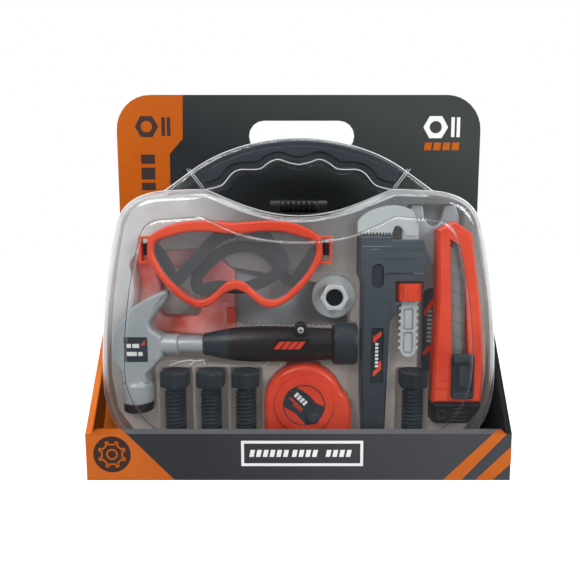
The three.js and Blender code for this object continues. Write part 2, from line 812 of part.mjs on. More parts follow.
function latchTab() {
  const side = latchTabWidth / 2;
  const nose = rodX(latchTabRadius, -side, side, latchAxisY, latchAxisZ);
  const back = latchFront + latchTabLength;
  const lever = block(-side, side, latchAxisY, back, latchTabBottom, latchTabBottom + 2 * latchTabRadius);
  const relief = block(
    -side - overrun,
    side + overrun,
    partingY,
    back + overrun,
    latchTabBottom - overrun,
    latchTabBottom + catchHeight,
  );
  const pitch = latchTabWidth / latchRibCount;
  let tab = nose.add(lever).subtract(relief);
  for (let rib = 1; rib < latchRibCount; rib += 1) {
    const x = -side + rib * pitch;
    const left = x - latchRibWidth / 2;
    const right = x + latchRibWidth / 2;
    const ring = rodX(latchTabRadius + overrun, left, right, latchAxisY, latchAxisZ, smallSides);
    const core = rodX(latchTabRadius - latchRibDepth, left, right, latchAxisY, latchAxisZ, smallSides);
    const bottom = latchTabBottom - overrun;
    const frontHalf = block(left, right, latchFront - overrun, latchAxisY, bottom, latchAxisZ + overrun);
    tab = tab.subtract(ring.subtract(core).intersect(frontHalf));
  }
  const reach = side + overrun;
  const bore = rodX(latchPinRadius + gap, -reach, reach, latchAxisY, latchAxisZ, smallSides);
  return tab.subtract(bore);
}

function latchPin() {
  return rodX(latchPinRadius, -latchWidth / 2, latchWidth / 2, latchAxisY, latchAxisZ, smallSides);
}

function latchCatch() {
  const side = latchTabWidth / 2;
  const front = partingY + gap;
  const top = latchTabBottom + catchHeight - gap;
  const lug = block(-side, side, front, front + catchDepth, latchSeatZ - overrun, top);
  return lug.subtract(caseClearance());
}

// Goggles

function goggleOutline(shares) {
  return placed(mirrored(splined(shares, goggleWidth / 2, goggleHeight, 2)), goggleX, goggleZ);
}

const goggleOuter = goggleOutline(goggleOuterShares);
const goggleInner = goggleOutline(goggleInnerShares);

const goggleLugBack = goggleFront + goggleRim + goggleLugDepth;
const strapFront = goggleLugBack + 2 * gap + strapThickness / 2;

function goggleFrame() {
  const rimBack = goggleFront + goggleRim;
  const back = goggleFront + goggleDepth;
  const rim = slab(goggleOuter, goggleFront, rimBack, { edge: goggleEdge, holes: [goggleInner] });
  const grow = -goggleSkirtInset - goggleSkirtWall;
  const skirtOuter = slab(goggleOuter, rimBack - goggleEdge, back, { grow: -goggleSkirtInset });
  const skirtInner = slab(goggleOuter, goggleFront, back + overrun, { grow });
  let frame = rim.add(skirtOuter.subtract(skirtInner));
  for (const side of [-1, 1]) {
    const root = goggleX + side * (goggleWidth / 2 - goggleSkirtInset - goggleSkirtWall);
    const end = goggleX + side * (goggleWidth / 2 + goggleLugWidth);
    const left = Math.min(root, end);
    const right = Math.max(root, end);
    const bottom = goggleZ + goggleLugZ - goggleLugHeight / 2;
    const top = bottom + goggleLugHeight;
    const lug = block(left, right, rimBack - goggleEdge, goggleLugBack, bottom, top);
    const slotNear = goggleX + side * (goggleWidth / 2);
    const slotFar = end - side * goggleLugBar;
    const slot = block(
      Math.min(slotNear, slotFar),
      Math.max(slotNear, slotFar),
      goggleFront,
      goggleLugBack + overrun,
      bottom + goggleLugBar,
      top - goggleLugBar,
    );
    const strapHalf = strapWidth / 2 + strapWindowGap;
    const middle = goggleZ + goggleLugZ;
    const window = block(
      Math.min(root, slotNear) - overrun,
      Math.max(root, slotNear) + overrun,
      strapFront - strapThickness / 2 - strapWindowGap,
      strapFront + strapThickness / 2 + strapWindowGap,
      middle - strapHalf,
      middle + strapHalf,
    );
    frame = frame.add(lug.subtract(slot)).subtract(window);
  }
  return frame.subtract(slab(goggleOuter, rimBack, back + overrun, { grow }));
}

function goggleLens() {
  const front = goggleFront + lensSetback;
  return slab(goggleInner, front, front + lensThickness, { grow: -gap });
}

function ribbon(points, width, thickness) {
  const corners = [];
  const faces = [];
  points.forEach((point, index) => {
    const before = points[Math.max(index - 1, 0)];
    const after = points[Math.min(index + 1, points.length - 1)];
    const along = after.clone().sub(before).setY(0).normalize();
    const across = new THREE.Vector3(-along.z, 0, along.x).multiplyScalar(width / 2);
    const deep = new THREE.Vector3(0, thickness / 2, 0);
    for (const [sideways, depth] of [[-1, -1], [1, -1], [1, 1], [-1, 1]]) {
      const corner = point.clone().addScaledVector(across, sideways).addScaledVector(deep, depth);
      corners.push(...corner.toArray());
    }
    if (index === 0) return;
    const last = 4 * (index - 1);
    const next = 4 * index;
    for (let side = 0; side < 4; side += 1) {
      const other = (side + 1) % 4;
      faces.push(last + side, next + side, next + other, last + side, next + other, last + other);
    }
  });
  const end = corners.length / 3 - 4;
  faces.push(0, 1, 2, 0, 2, 3, end, end + 2, end + 1, end, end + 3, end + 2);
  const geometry = new THREE.BufferGeometry();
  geometry.setAttribute('position', new THREE.BufferAttribute(Float32Array.from(corners), 3));
  geometry.setIndex(faces);
  return solidOf(geometry);
}

function goggleStrap() {
  const last = strapShares.length - 1;
  const route = strapShares.map(([x, z, depth]) => new THREE.Vector3(
    goggleX + (x * goggleWidth) / 2,
    strapFront + depth * strapTravel,
    goggleZ + z * goggleHeight,
  ));
  const curve = new THREE.CatmullRomCurve3(route, false, 'centripetal');
  return ribbon(curve.getPoints(3 * last), strapWidth, strapThickness);
}

// Hammer: a claw head with a rubber face, a shaft and an oval moulded handle

const headBottom = hammerZ - headNeckDrop;

function hammerHead() {
  const outline = placed(traced(headShares, headWidth, headHeight), headLeft, headBottom);
  const cheek = slab(outline, hammerY - headThickness / 2, hammerY + headThickness / 2, { edge: headEdge });
  const pollTop = headBottom - gap;
  const profile = [
    [0, -pollHeight],
    [pollRadius - pollChamfer, -pollHeight],
    [pollRadius, -pollHeight + pollChamfer],
    [pollRadius, -pollChamfer],
    [pollRadius - pollChamfer, 0],
    [neckRadius, pollChamfer],
    [neckRadius - pollChamfer, headHeight / 5],
    [0, headHeight / 5],
  ];
  const poll = turnedZ(profile, hammerX, hammerY, pollTop);
  const collarLeft = headLeft + headWidth * headCollarShare;
  const collar = rodX(collarRadius, collarLeft, hammerShaftStart() + collarLength, hammerY, hammerZ);
  const bore = rodX(
    shaftRadius + gap,
    hammerShaftStart() - shaftReach,
    hammerShaftStart() + collarLength + overrun,
    hammerY,
    hammerZ,
  );
  return joined(cheek, poll, collar).subtract(bore).subtract(clawSlit());
}

// The V between the claws widens from its root to their tips
function clawSlit() {
  const root = headBottom + headHeight * clawSlitShare;
  const top = headBottom + headHeight + overrun;
  const wedge = [
    new THREE.Vector2(hammerY - gap, root),
    new THREE.Vector2(hammerY + gap, root),
    new THREE.Vector2(hammerY + clawSlitWidth / 2, top),
    new THREE.Vector2(hammerY - clawSlitWidth / 2, top),
  ];
  return sidePlate(wedge, headLeft - overrun, headLeft + headWidth + overrun);
}

function hammerShaftStart() {
  return headLeft + headWidth * headShoulderShare;
}

function hammerFaceCap() {
  const top = headBottom - gap - pollHeight - gap;
  return rodZ(faceCapRadius, top - faceCapHeight, top, hammerX, hammerY);
}

function hammerShaft() {
  const left = hammerShaftStart() - shaftReach + gap;
  const right = hammerX + gripStart + shaftBore - gap;
  return rodX(shaftRadius, left, right, hammerY, hammerZ);
}

function hammerGripBoss() {
  const x = hammerX + gripStart + gripBossX;
  const front = hammerY - gripBossReach;
  return { x, z: hammerZ + gripBossZ, front };
}

function hammerHandle() {
  const left = hammerX + gripStart;
  const profile = gripShares.map(([radius, reach]) => [radius * gripRadius, reach * gripLength]);
  const grip = turnedX(profile, left, hammerY, hammerZ, gripFlattenShare, roundSides);
  const bore = rodX(shaftRadius + gap, left - overrun, left + shaftBore, hammerY, hammerZ);
  const boss = hammerGripBoss();
  const post = rodY(gripBossRadius, boss.front, hammerY, boss.x, boss.z, smallSides);
  const depth = gripScrewRecess + gripScrewLength + gap;
  const well = boss.front + depth;
  const recess = rodY(gripScrewRadius + gap, boss.front - overrun, well, boss.x, boss.z, smallSides);
  return grip.add(post).subtract(bore).subtract(recess);
}

function hammerScrew() {
  const boss = hammerGripBoss();
  const front = boss.front + gripScrewRecess;
  return rodY(gripScrewRadius, front, front + gripScrewLength, boss.x, boss.z, smallSides);
}

// Hand saw

const sawBladeX = sawHandleX + sawHandleWidth - sawBladeReach;
const sawMidY = sawFront + sawHandleThickness / 2;
const sawOutline = traced(sawHandleShares, sawHandleWidth, sawHandleHeight);
const sawHandleOutline = placed(sawOutline, sawHandleX, sawHandleZ);

function sawBladeOutline() {
  const points = [new THREE.Vector2(0, sawBladeHeight), new THREE.Vector2(0, sawToothDepth)];
  points.push(new THREE.Vector2(sawBladeReach + gap, sawToothDepth));
  const start = sawBladeReach + sawToothPitch;
  const teeth = Math.floor((sawBladeLength - sawToothPitch) / sawToothPitch);
  for (let tooth = 0; tooth < teeth; tooth += 1) {
    points.push(new THREE.Vector2(start + tooth * sawToothPitch, sawToothDepth));
    points.push(new THREE.Vector2(start + (tooth + sawToothShare) * sawToothPitch, 0));
  }
  const tip = sawBladeReach + sawBladeLength;
  points.push(new THREE.Vector2(tip, sawToothDepth), new THREE.Vector2(tip, sawBladeTip));
  return placed(points, sawBladeX, sawBladeZ).reverse();
}

function sawBlade() {
  const front = sawMidY - sawBladeThickness / 2;
  let blade = slab(sawBladeOutline(), front, front + sawBladeThickness);
  const back = front + sawBladeThickness;
  for (const rivet of [0, 1]) {
    const z = sawRivetZ(rivet);
    blade = blade.subtract(rodY(rivetHole, front - overrun, back + overrun, sawRivetX(), z, smallSides));
  }
  return blade;
}

function sawRivetX() {
  return sawBladeX + rivetX;
}

function sawRivetZ(rivet) {
  return sawHandleZ + rivetZ + rivet * rivetPitch;
}

function sawHandle() {
  const back = sawFront + sawHandleThickness;
  const opening = placed(traced(sawHoleShares, sawHandleWidth, sawHandleHeight), sawHandleX, sawHandleZ);
  let handle = slab(sawHandleOutline, sawFront, back, { edge: sawHandleEdge, holes: [opening] });
  const slot = block(
    sawBladeX - gap,
    sawHandleX + sawHandleWidth + overrun,
    sawMidY - sawBladeThickness / 2 - gap,
    sawMidY + sawBladeThickness / 2 + gap,
    sawBladeZ - gap,
    sawBladeZ + sawBladeHeight + gap,
  );
  handle = handle.subtract(slot);
  for (const rivet of [0, 1]) {
    const z = sawRivetZ(rivet);
    const hole = rodY(rivetHole, sawFront - overrun, back + overrun, sawRivetX(), z, smallSides);
    handle = handle.subtract(hole);
  }
  return handle;
}

function sawRivet(rivet) {
  const back = sawFront + sawHandleThickness;
  return rodY(rivetRadius, sawFront, back, sawRivetX(), sawRivetZ(rivet), smallSides);
}

// Bolts and the flange nut

function toyBolt(x) {
  const corner = boltHeadWidth / Math.sqrt(3);
  const crown = boltHeadWidth / 2;
  const headProfile = [
    [0, -boltHeadHeight],
    [corner, -boltHeadHeight],
    [corner, -boltHeadChamfer],
    [crown - boltHeadChamfer / 2, 0],
    [0, 0],
  ];
  const prism = new THREE.ExtrudeGeometry(new THREE.Shape(hexagon(boltHeadWidth)), {
    depth: boltHeadHeight,
    bevelEnabled: false,
  });
  prism.rotateZ(Math.PI / 6);
  prism.translate(x, boltY, boltTop - boltHeadHeight);
  const head = solidOf(prism).intersect(turnedZ(headProfile, x, boltY, boltTop, smallSides * 2));
  const top = boltTop - boltHeadHeight;
  const profile = [
    [0, gap],
    [boltNeckRadius, gap],
    [boltNeckRadius, -boltNeckLength],
    [boltThreadRadius, -boltNeckLength],
    [boltThreadRadius, boltTipLength - boltShankLength],
    [boltNeckRadius, -boltShankLength],
    [0, -boltShankLength],
  ];
  return head.add(turnedZ(profile, x, boltY, top, smallSides));
}

const boltLength = boltHeadHeight + boltShankLength;

function flangeNut() {
  const hexBack = nutFront + nutHexDepth;
  const corners = placed(hexagon(nutAcrossFlats), nutX, nutZ);
  const hex = slab(corners, nutFront, hexBack + nutChamfer, { edge: nutChamfer });
  const flange = rodY(nutFlangeRadius, hexBack, hexBack + nutFlangeDepth, nutX, nutZ);
  const bore = rodY(nutBoreRadius, nutFront - overrun, hexBack + nutFlangeDepth + overrun, nutX, nutZ);
  const notch = block(
    nutX,
    nutX + nutBoreRadius + nutNotchDepth,
    nutFront - overrun,
    hexBack,
    nutZ - nutNotchWidth / 2,
    nutZ + nutNotchWidth / 2,
  );
  return hex.add(flange).subtract(bore).subtract(notch);
}

// Tape measure: two case halves round a spool on its axle, with a lock button and an end hook

const tapeMidY = tapeFront + tapeDepth / 2;
const tapeBack = tapeFront + tapeDepth;

function tapeOutline() {
  const path = new THREE.Path();
  path.moveTo(-tapeRadius + tapeEdge, -tapeDrop);
  path.lineTo(tapeRight, -tapeDrop);
  path.lineTo(tapeRight, -tapeRadius / 3);
  const shoulderX = tapeRadius * Math.cos(tapeShoulderAngle);
  const shoulderZ = tapeRadius * Math.sin(tapeShoulderAngle);
  path.quadraticCurveTo(tapeRight, tapeRadius / 6, shoulderX, shoulderZ);
  path.absarc(0, 0, tapeRadius, tapeShoulderAngle, Math.PI);
  path.lineTo(-tapeRadius, -tapeDrop + tapeEdge);
  return placed(path.getPoints(curvePieces + 1), tapeX, tapeZ);
}

function tapeHalf(front, back) {
  const whole = slab(tapeOutline(), tapeFront, tapeBack, { edge: tapeEdge });
  const part = whole.intersect(block(-cartonWidth, cartonWidth, front, back, -cartonWidth, cartonWidth));
  const spoolHalf = tapeSpoolDepth / 2 + gap;
  const axleHalf = tapeSpoolDepth / 2 + tapeWall;
  const room = rodY(tapeSpoolRadius + 2 * gap, tapeMidY - spoolHalf, tapeMidY + spoolHalf, tapeX, tapeZ);
  const boreRadius = tapeAxleRadius + gap;
  const bore = rodY(boreRadius, tapeMidY - axleHalf, tapeMidY + axleHalf, tapeX, tapeZ, smallSides);
  return part.subtract(room).subtract(bore);
}

function tapeMouth() {
  const right = tapeX + tapeRight;
  const bottom = tapeZ - tapeDrop + tapeMouthRise;
  return {
    left: right - tapeBladeReach,
    right,
    front: tapeMidY - tapeHookWidth / 2,
    back: tapeMidY + tapeHookWidth / 2,
    bottom,
    top: bottom + tapeBladeThickness,
  };
}

function tapeMouthCut() {
  const mouth = tapeMouth();
  return block(
    mouth.left - gap,
    mouth.right + overrun,
    mouth.front - gap,
    mouth.back + gap,
    mouth.bottom - gap,
    mouth.top + gap,
  );
}

function tapeButtonPlace() {
  return { x: tapeX + tapeButtonX, z: tapeZ + tapeButtonZ };
}

function tapeCaseFront() {
  const ringFront = tapeFront - tapeRingRaise;
  const round = new THREE.Path().absarc(tapeX, tapeZ, tapeRingRadius, 0, 2 * Math.PI);
  const ring = slab(round.getPoints(roundSides), ringFront, tapeFront + tapeWall, { edge: tapeRingEdge });
  const labelBack = ringFront + tapeLabelSink + tapeLabelThickness + gap;
  const seat = rodY(tapeLabelRadius + gap, ringFront - overrun, labelBack, tapeX, tapeZ);
  const button = tapeButtonPlace();
  const buttonBack = labelBack + tapeButtonLength + tapeLabelSink;
  const well = rodY(tapeButtonRadius + gap, ringFront - overrun, buttonBack, button.x, button.z, smallSides);
  const half = tapeHalf(tapeFront, tapeMidY - gap / 2);
  return half.add(ring).subtract(seat).subtract(well).subtract(tapeMouthCut());
}

function tapeCaseBack() {
  return tapeHalf(tapeMidY + gap / 2, tapeBack).subtract(tapeMouthCut());
}

function tapeSpool() {
  const front = tapeMidY - tapeSpoolDepth / 2;
  const back = front + tapeSpoolDepth;
  const bore = rodY(tapeAxleRadius + gap, front - overrun, back + overrun, tapeX, tapeZ, smallSides);
  return rodY(tapeSpoolRadius, front, back, tapeX, tapeZ).subtract(bore);
}

function tapeAxle() {
  const reach = tapeSpoolDepth / 2 + tapeWall - gap;
  return rodY(tapeAxleRadius, tapeMidY - reach, tapeMidY + reach, tapeX, tapeZ, smallSides);
}

function tapeLabel() {
  const front = tapeFront - tapeRingRaise + tapeLabelSink;
  const disc = rodY(tapeLabelRadius, front, front + tapeLabelThickness, tapeX, tapeZ);
  const button = tapeButtonPlace();
  const radius = tapeButtonRadius + gap;
  return disc.subtract(rodY(radius, front - overrun, front + overrun, button.x, button.z, smallSides));
}

function tapeLockButton() {
  const button = tapeButtonPlace();
  const front = tapeFront - tapeRingRaise + tapeLabelSink - tapeButtonProud;
  return rodY(tapeButtonRadius, front, front + tapeButtonLength, button.x, button.z, smallSides);
}

function tapeHook() {
  const mouth = tapeMouth();
  const blade = block(mouth.left, mouth.right + 2 * gap, mouth.front, mouth.back, mouth.bottom, mouth.top);
  const left = mouth.right + gap;
  const bottom = mouth.top - tapeHookHeight / 2;
  const plate = block(left, left + tapeHookThickness, mouth.front, mouth.back, bottom, mouth.top);
  return blade.add(plate);
}

// Pipe wrench: a black body, a hook jaw on a toothed rack, and the orange nut that drives it

const wrenchTop = wrenchBottom + wrenchHeight;
const wrenchBack = wrenchFront + wrenchThickness;
const wrenchOutline = placed(traced(wrenchShares, wrenchWidth, wrenchHeight), wrenchLeft, wrenchBottom);

function wrenchBody() {
  const rackReach = rackWidth / 2 + rackToothDepth + gap;
  let body = slab(wrenchOutline, wrenchFront, wrenchBack, { edge: wrenchEdge });
  const tunnel = block(
    rackX - rackReach,
    rackX + rackReach,
    rackY - rackThickness / 2 - gap,
    rackY + rackThickness / 2 + gap,
    rackBottom - gap,
    wrenchTop + overrun,
  );
  const slotPath = rounded(
    wrenchSlotX - wrenchSlotWidth / 2,
    wrenchSlotX + wrenchSlotWidth / 2,
    wrenchSlotZ - wrenchSlotHeight / 2,
    wrenchSlotZ + wrenchSlotHeight / 2,
    wrenchSlotWidth / 2 - weldDistance,
  );
  const recessBack = wrenchFront + wrenchRecess;
  const label = block(
    wrenchLabelX - wrenchLabelWidth / 2,
    wrenchLabelX + wrenchLabelWidth / 2,
    wrenchFront - overrun,
    recessBack,
    wrenchLabelZ - wrenchLabelHeight / 2,
    wrenchLabelZ + wrenchLabelHeight / 2,
  );
  body = body.subtract(tunnel).subtract(slab(slotPath, wrenchFront - overrun, recessBack)).subtract(label);
  for (const [leftShare, riseShare] of wrenchRidgeShares) {
    const left = wrenchLeft + wrenchWidth * leftShare;
    const z = wrenchBottom + wrenchHeight * riseShare;
    const right = left + wrenchRidgeLength;
    const front = wrenchFront - wrenchRidge / 2;
    body = body.add(block(left, right, front, wrenchFront + wrenchRidge, z, z + wrenchRidge));
  }
  return body;
}

function wrenchJaw() {
  const left = wrenchLeft - wrenchRidge;
  const bottom = wrenchTop + gap + jawToothDepth;
  const outline = placed(traced(jawShares, jawWidth, jawHeight), left, bottom);
  let jaw = slab(outline, rackY - jawThickness / 2, rackY + jawThickness / 2);
  const keepAbove = block(
    left - overrun,
    rackX + rackWidth,
    rackY - jawThickness,
    rackY + jawThickness,
    wrenchTop + gap,
    wrenchTop + jawHeight + overrun * 2,
  );
  jaw = jaw.intersect(keepAbove);
  for (let tooth = 0; tooth < jawToothCount; tooth += 1) {
    const x = left + tooth * jawToothPitch;
    const points = [
      new THREE.Vector2(x, bottom + 2 * jawToothDepth),
      new THREE.Vector2(x + jawToothPitch / 2, bottom - jawToothDepth),
      new THREE.Vector2(x + jawToothPitch, bottom + 2 * jawToothDepth),
    ];
    jaw = jaw.add(slab(points, rackY - jawThickness / 2, rackY + jawThickness / 2));
  }
  const half = rackWidth / 2;
  const shank = rounded(rackX - half, rackX + half, rackBottom, bottom + jawHeight / 2, half - gap);
  jaw = jaw.add(slab(shank, rackY - rackThickness / 2, rackY + rackThickness / 2));
  const reach = rackWidth / 2 + rackToothDepth;
  for (let tooth = 0; tooth < rackToothCount; tooth += 1) {
    const z = rackBottom + rackWidth / 2 + tooth * rackToothPitch;
    const bar = block(
      rackX - reach,
      rackX + reach,
      rackY - rackThickness / 2,
      rackY + rackThickness / 2,
      z,
      z + rackToothPitch / 2,
    );
    jaw = jaw.add(bar);
  }
  const front = rackY - rackThickness / 2;
  const panelHalf = rackWidth / 4;
  const panelHeight = 3 * rackToothPitch;
  for (const panel of [0, 1]) {
    const z = rackBottom + rackWidth / 3 + panel * (panelHeight + rackToothPitch / 2);
    const left = rackX - panelHalf;
    const right = rackX + panelHalf;
    const recessBack = front + rackPanelDepth;
    jaw = jaw.subtract(block(left, right, front - overrun, recessBack, z, z + panelHeight));
  }
  return jaw;
}

function wrenchNut() {
  const points = [];
  for (let side = 0; side < 2 * wrenchNutRibs; side += 1) {
    const angle = (Math.PI * side) / wrenchNutRibs;
    const radius = wrenchNutRadius - (side % 2) * wrenchNutRibDepth;
    points.push(new THREE.Vector2(radius * Math.cos(angle), radius * Math.sin(angle)));
  }
  const depth = wrenchNutHeight;
  const geometry = new THREE.ExtrudeGeometry(new THREE.Shape(points), { depth, bevelEnabled: false });
  const bottom = wrenchNutZ - wrenchNutHeight / 2;
  geometry.translate(rackX, rackY, bottom);
  const bore = rodZ(wrenchNutBore, bottom - overrun, bottom + wrenchNutHeight + overrun, rackX, rackY);
  return solidOf(geometry).subtract(bore);
}

// Spanner

const spannerOutline = placed(
  traced(spannerShares, spannerHeadWidth, spannerLength),
  spannerX - spannerHeadWidth / 2,
  spannerBottom,
);

function spanner() {
  const back = spannerFront + spannerThickness;
  const holeZ = spannerBottom + spannerHoleRise;
  const hole = rodY(spannerHoleRadius, spannerFront - overrun, back + overrun, spannerX, holeZ, smallSides);
  const bottom = spannerBottom + spannerLabelRise;
  const label = block(
    spannerX - spannerLabelWidth / 2,
    spannerX + spannerLabelWidth / 2,
    spannerFront - overrun,
    spannerFront + spannerRecess,
    bottom,
    bottom + spannerLabelHeight,
  );
  return slab(spannerOutline, spannerFront, back, { edge: spannerEdge }).subtract(hole).subtract(label);
}

// Snap-off cutter: a body with a window, a sliding blade on its thumb slider, and a screwed end cap

const cutterBack = cutterFront + cutterThickness;
const cutterOutline = placed(traced(cutterShares, cutterWidth, cutterHeight), cutterLeft, cutterBottom);
const bladeFront = cutterFront + bladeFrontSetback;

function cutterBody() {
  const window = placed(traced(windowShares, cutterWidth, cutterHeight), cutterLeft, cutterBottom);
  let body = slab(cutterOutline, cutterFront, cutterBack, { edge: cutterEdge });
  body = body.subtract(slab(window, cutterFront - overrun, cutterFront + cutterWindowDepth));
  const channelFront = bladeFront - (channelThickness - bladeThickness) / 2;
  const channel = block(
    bladeX - channelWidth / 2,
    bladeX + channelWidth / 2,
    channelFront,
    channelFront + channelThickness,
    cutterBottom - overrun,
    cutterBottom + cutterHeight + overrun,
  );
  const slot = block(
    sliderX - sliderSlotWidth / 2,
    sliderX + sliderSlotWidth / 2,
    cutterFront - overrun,
    channelFront + gap,
    sliderBottom - gap,
    sliderBottom + sliderSlotHeight,
  );
  body = body.subtract(channel).subtract(slot);
  for (let line = 0; line < gripLineCount; line += 1) {
    const z = cutterBottom + gripLineRise + line * gripLinePitch;
    const left = cutterLeft + cutterEdge;
    const right = left + gripLineLength;
    const depth = cutterFront + gripLineDepth;
    body = body.subtract(block(left, right, cutterFront - overrun, depth, z, z + gripLineHeight));
  }
  return body;
}

function cutterBlade() {
  const left = bladeX - bladeWidth / 2;
  const outline = [
    new THREE.Vector2(left, bladeBottom),
    new THREE.Vector2(left + bladeWidth, bladeBottom),
    new THREE.Vector2(left + bladeWidth, bladeTop - bladeWidth / 2),
    new THREE.Vector2(left, bladeTop),
  ];
  return slab(outline, bladeFront, bladeFront + bladeThickness);
}

function cutterSlider() {
  const left = sliderX - sliderWidth / 2;
  const back = cutterFront - gap;
  const front = back - sliderProud;
  const pad = slab(
    rounded(left, left + sliderWidth, sliderBottom, sliderBottom + sliderHeight, sliderPadInset),
    front,
    back,
    { edge: sliderPadDepth },
  );
  const padMiddle = sliderBottom + sliderHeight / 3;
  const dish = block(
    left + sliderPadInset,
    left + sliderWidth - sliderPadInset,
    front - overrun,
    front + sliderPadDepth,
    padMiddle - sliderPadHeight / 4,
    padMiddle + (3 * sliderPadHeight) / 4,
  );
  const neck = block(
    sliderX - sliderNeckWidth / 2,
    sliderX + sliderNeckWidth / 2,
    back - sliderPadDepth,
    bladeFront - gap,
    bladeBottom,
    sliderBottom + sliderHeight - sliderPadInset,
  );
  return pad.subtract(dish).add(neck);
}

function cutterEndCap() {
  const top = cutterBottom - gap;
  const outline = placed(traced(endCapShares, cutterWidth, endCapHeight), cutterLeft, top - endCapHeight);
  let cap = slab(outline, cutterFront, cutterBack, { edge: cutterEdge });
  const screw = cutterScrewPlace();
  const depth = cutterScrewRecess + cutterScrewLength + gap;
  const radius = cutterScrewRadius + gap;
  const well = rodY(radius, cutterFront - overrun, cutterFront + depth, screw.x, screw.z, smallSides);
  cap = cap.subtract(well);
  const count = Math.floor((endCapHeight - endCapRibPitch) / endCapRibPitch);
  for (let rib = 0; rib < count; rib += 1) {
    const z = top - endCapHeight + (rib + 1) * endCapRibPitch;
    const left = sliderX - endCapStripWidth / 2;
    const right = left + endCapStripWidth;
    const back = cutterFront + endCapRibDepth;
    cap = cap.subtract(block(left, right, cutterFront - overrun, back, z, z + endCapRibPitch / 2));
  }
  return cap;
}

function cutterScrewPlace() {
  return { x: cutterLeft + cutterScrewX, z: cutterBottom - cutterScrewDrop };
}

function cutterScrew() {
  const place = cutterScrewPlace();
  const front = cutterFront + cutterScrewRecess;
  return rodY(cutterScrewRadius, front, front + cutterScrewLength, place.x, place.z, smallSides);
}

// Insert tray: a thin formed sheet with a pocket behind each tool

function trayPockets() {
  const bay = (left, right, bottom, top) => rounded(left, right, bottom, top, pocketCorner);
  const upright = (x, width, bottom, top) => bay(x - width / 2, x + width / 2, bottom, top);
  const gripHalf = gripRadius * gripFlattenShare;
  const gripLeft = hammerX + gripStart;
  const headOutline = placed(traced(headShares, headWidth, headHeight), headLeft, headBottom);
  const faceBottom = headBottom - gap - pollHeight - gap - faceCapHeight;
  const spannerHeadBottom = spannerBottom + spannerLength * spannerHeadShare;
  const spannerFoot = spannerBottom - 2 * pocketCorner;
  const tapeMouthRight = tapeMouth().right + gap + tapeHookThickness;
  const endCapBottom = cutterBottom - gap - endCapHeight;
  const nutRound = nutFlangeRadius - weldDistance;
  const nutHalf = wrenchNutHeight / 2;
  const nutBackY = nutFront + nutHexDepth + nutFlangeDepth;
  const wrenchNutBackY = rackY + wrenchNutRadius;
  const spannerBackY = spannerFront + spannerThickness;
  const pockets = [
    [goggleOuter, goggleFront + goggleDepth],
    [headOutline, hammerY + headThickness / 2],
    [upright(hammerX, 2 * pollRadius, faceBottom, headBottom + pollRadius), hammerY + pollRadius],
    [bay(hammerX, gripLeft + gripLength / 5, hammerZ - gripHalf, hammerZ + gripHalf), hammerY + gripHalf],
    [bay(gripLeft, gripLeft + gripLength, hammerZ - gripRadius, hammerZ + gripRadius), hammerY + gripHalf],
    [upright(rackX, 2 * wrenchNutRadius, wrenchNutZ - nutHalf, wrenchNutZ + nutHalf), wrenchNutBackY],
    [sawHandleOutline, sawFront + sawHandleThickness],
    [sawBladeOutline(), sawMidY + sawBladeThickness / 2],
    [placed(rounded(-nutRound, nutRound, -nutRound, nutRound, nutRound - gap), nutX, nutZ), nutBackY],
    [tapeOutline(), tapeBack],
    [bay(tapeX, tapeMouthRight, tapeZ - tapeDrop, tapeZ), tapeMidY + tapeHookWidth / 2],
    [wrenchOutline, wrenchBack],
    [upright(spannerX, spannerHeadWidth, spannerHeadBottom, spannerBottom + spannerLength), spannerBackY],
    [upright(spannerX, spannerHeadWidth / 2, spannerFoot, spannerHeadBottom + pocketCorner), spannerBackY],
    [cutterOutline, cutterBack],
    [bay(cutterLeft, cutterLeft + cutterWidth, endCapBottom, cutterBottom + endCapHeight), cutterBack],
  ];
  for (const x of boltX) {
    const half = boltHeadWidth / Math.sqrt(3);
    pockets.push([upright(x, 2 * half, boltTop - boltLength, boltTop), boltY + half]);
  }
  return pockets;
}

function insertTray() {
  const edge = caseWall + trayEdgeGap;
  const back = trayFront + traySkirtDepth;
  const sheetGrow = { grow: -edge };
  const insideGrow = { grow: -edge - traySheet };
  const plate = slab(bodyOutline, trayFront, trayFront + traySheet, sheetGrow);
  const within = slab(bodyOutline, trayFront - overrun, back + overrun, insideGrow);
  const skirt = slab(bodyOutline, trayFront, back, sheetGrow).subtract(within);
  const flangeBack = trayFlangeFront + traySheet;
  const flange = slab(bodyOutline, trayFlangeFront, flangeBack, { grow: -caseWall - gap }).subtract(within);
  let sheet = joined(plate, skirt, flange);
  const inside = slab(bodyOutline, trayFront - overrun, caseBack, sheetGrow);
  const outers = [];
  const inners = [];
  for (const [outline, depth] of trayPockets()) {
    const plain = thinned(outline, pocketGap - gap / 2);
    outers.push(slab(plain, trayFront, depth + gap + traySheet, { grow: pocketGap + traySheet }));
    inners.push(slab(plain, caseFront, depth + gap, { grow: pocketGap }));
  }
  sheet = sheet.add(wasm.Manifold.union(outers).intersect(inside));
  return sheet.subtract(wasm.Manifold.union(inners));
}

// Assembly

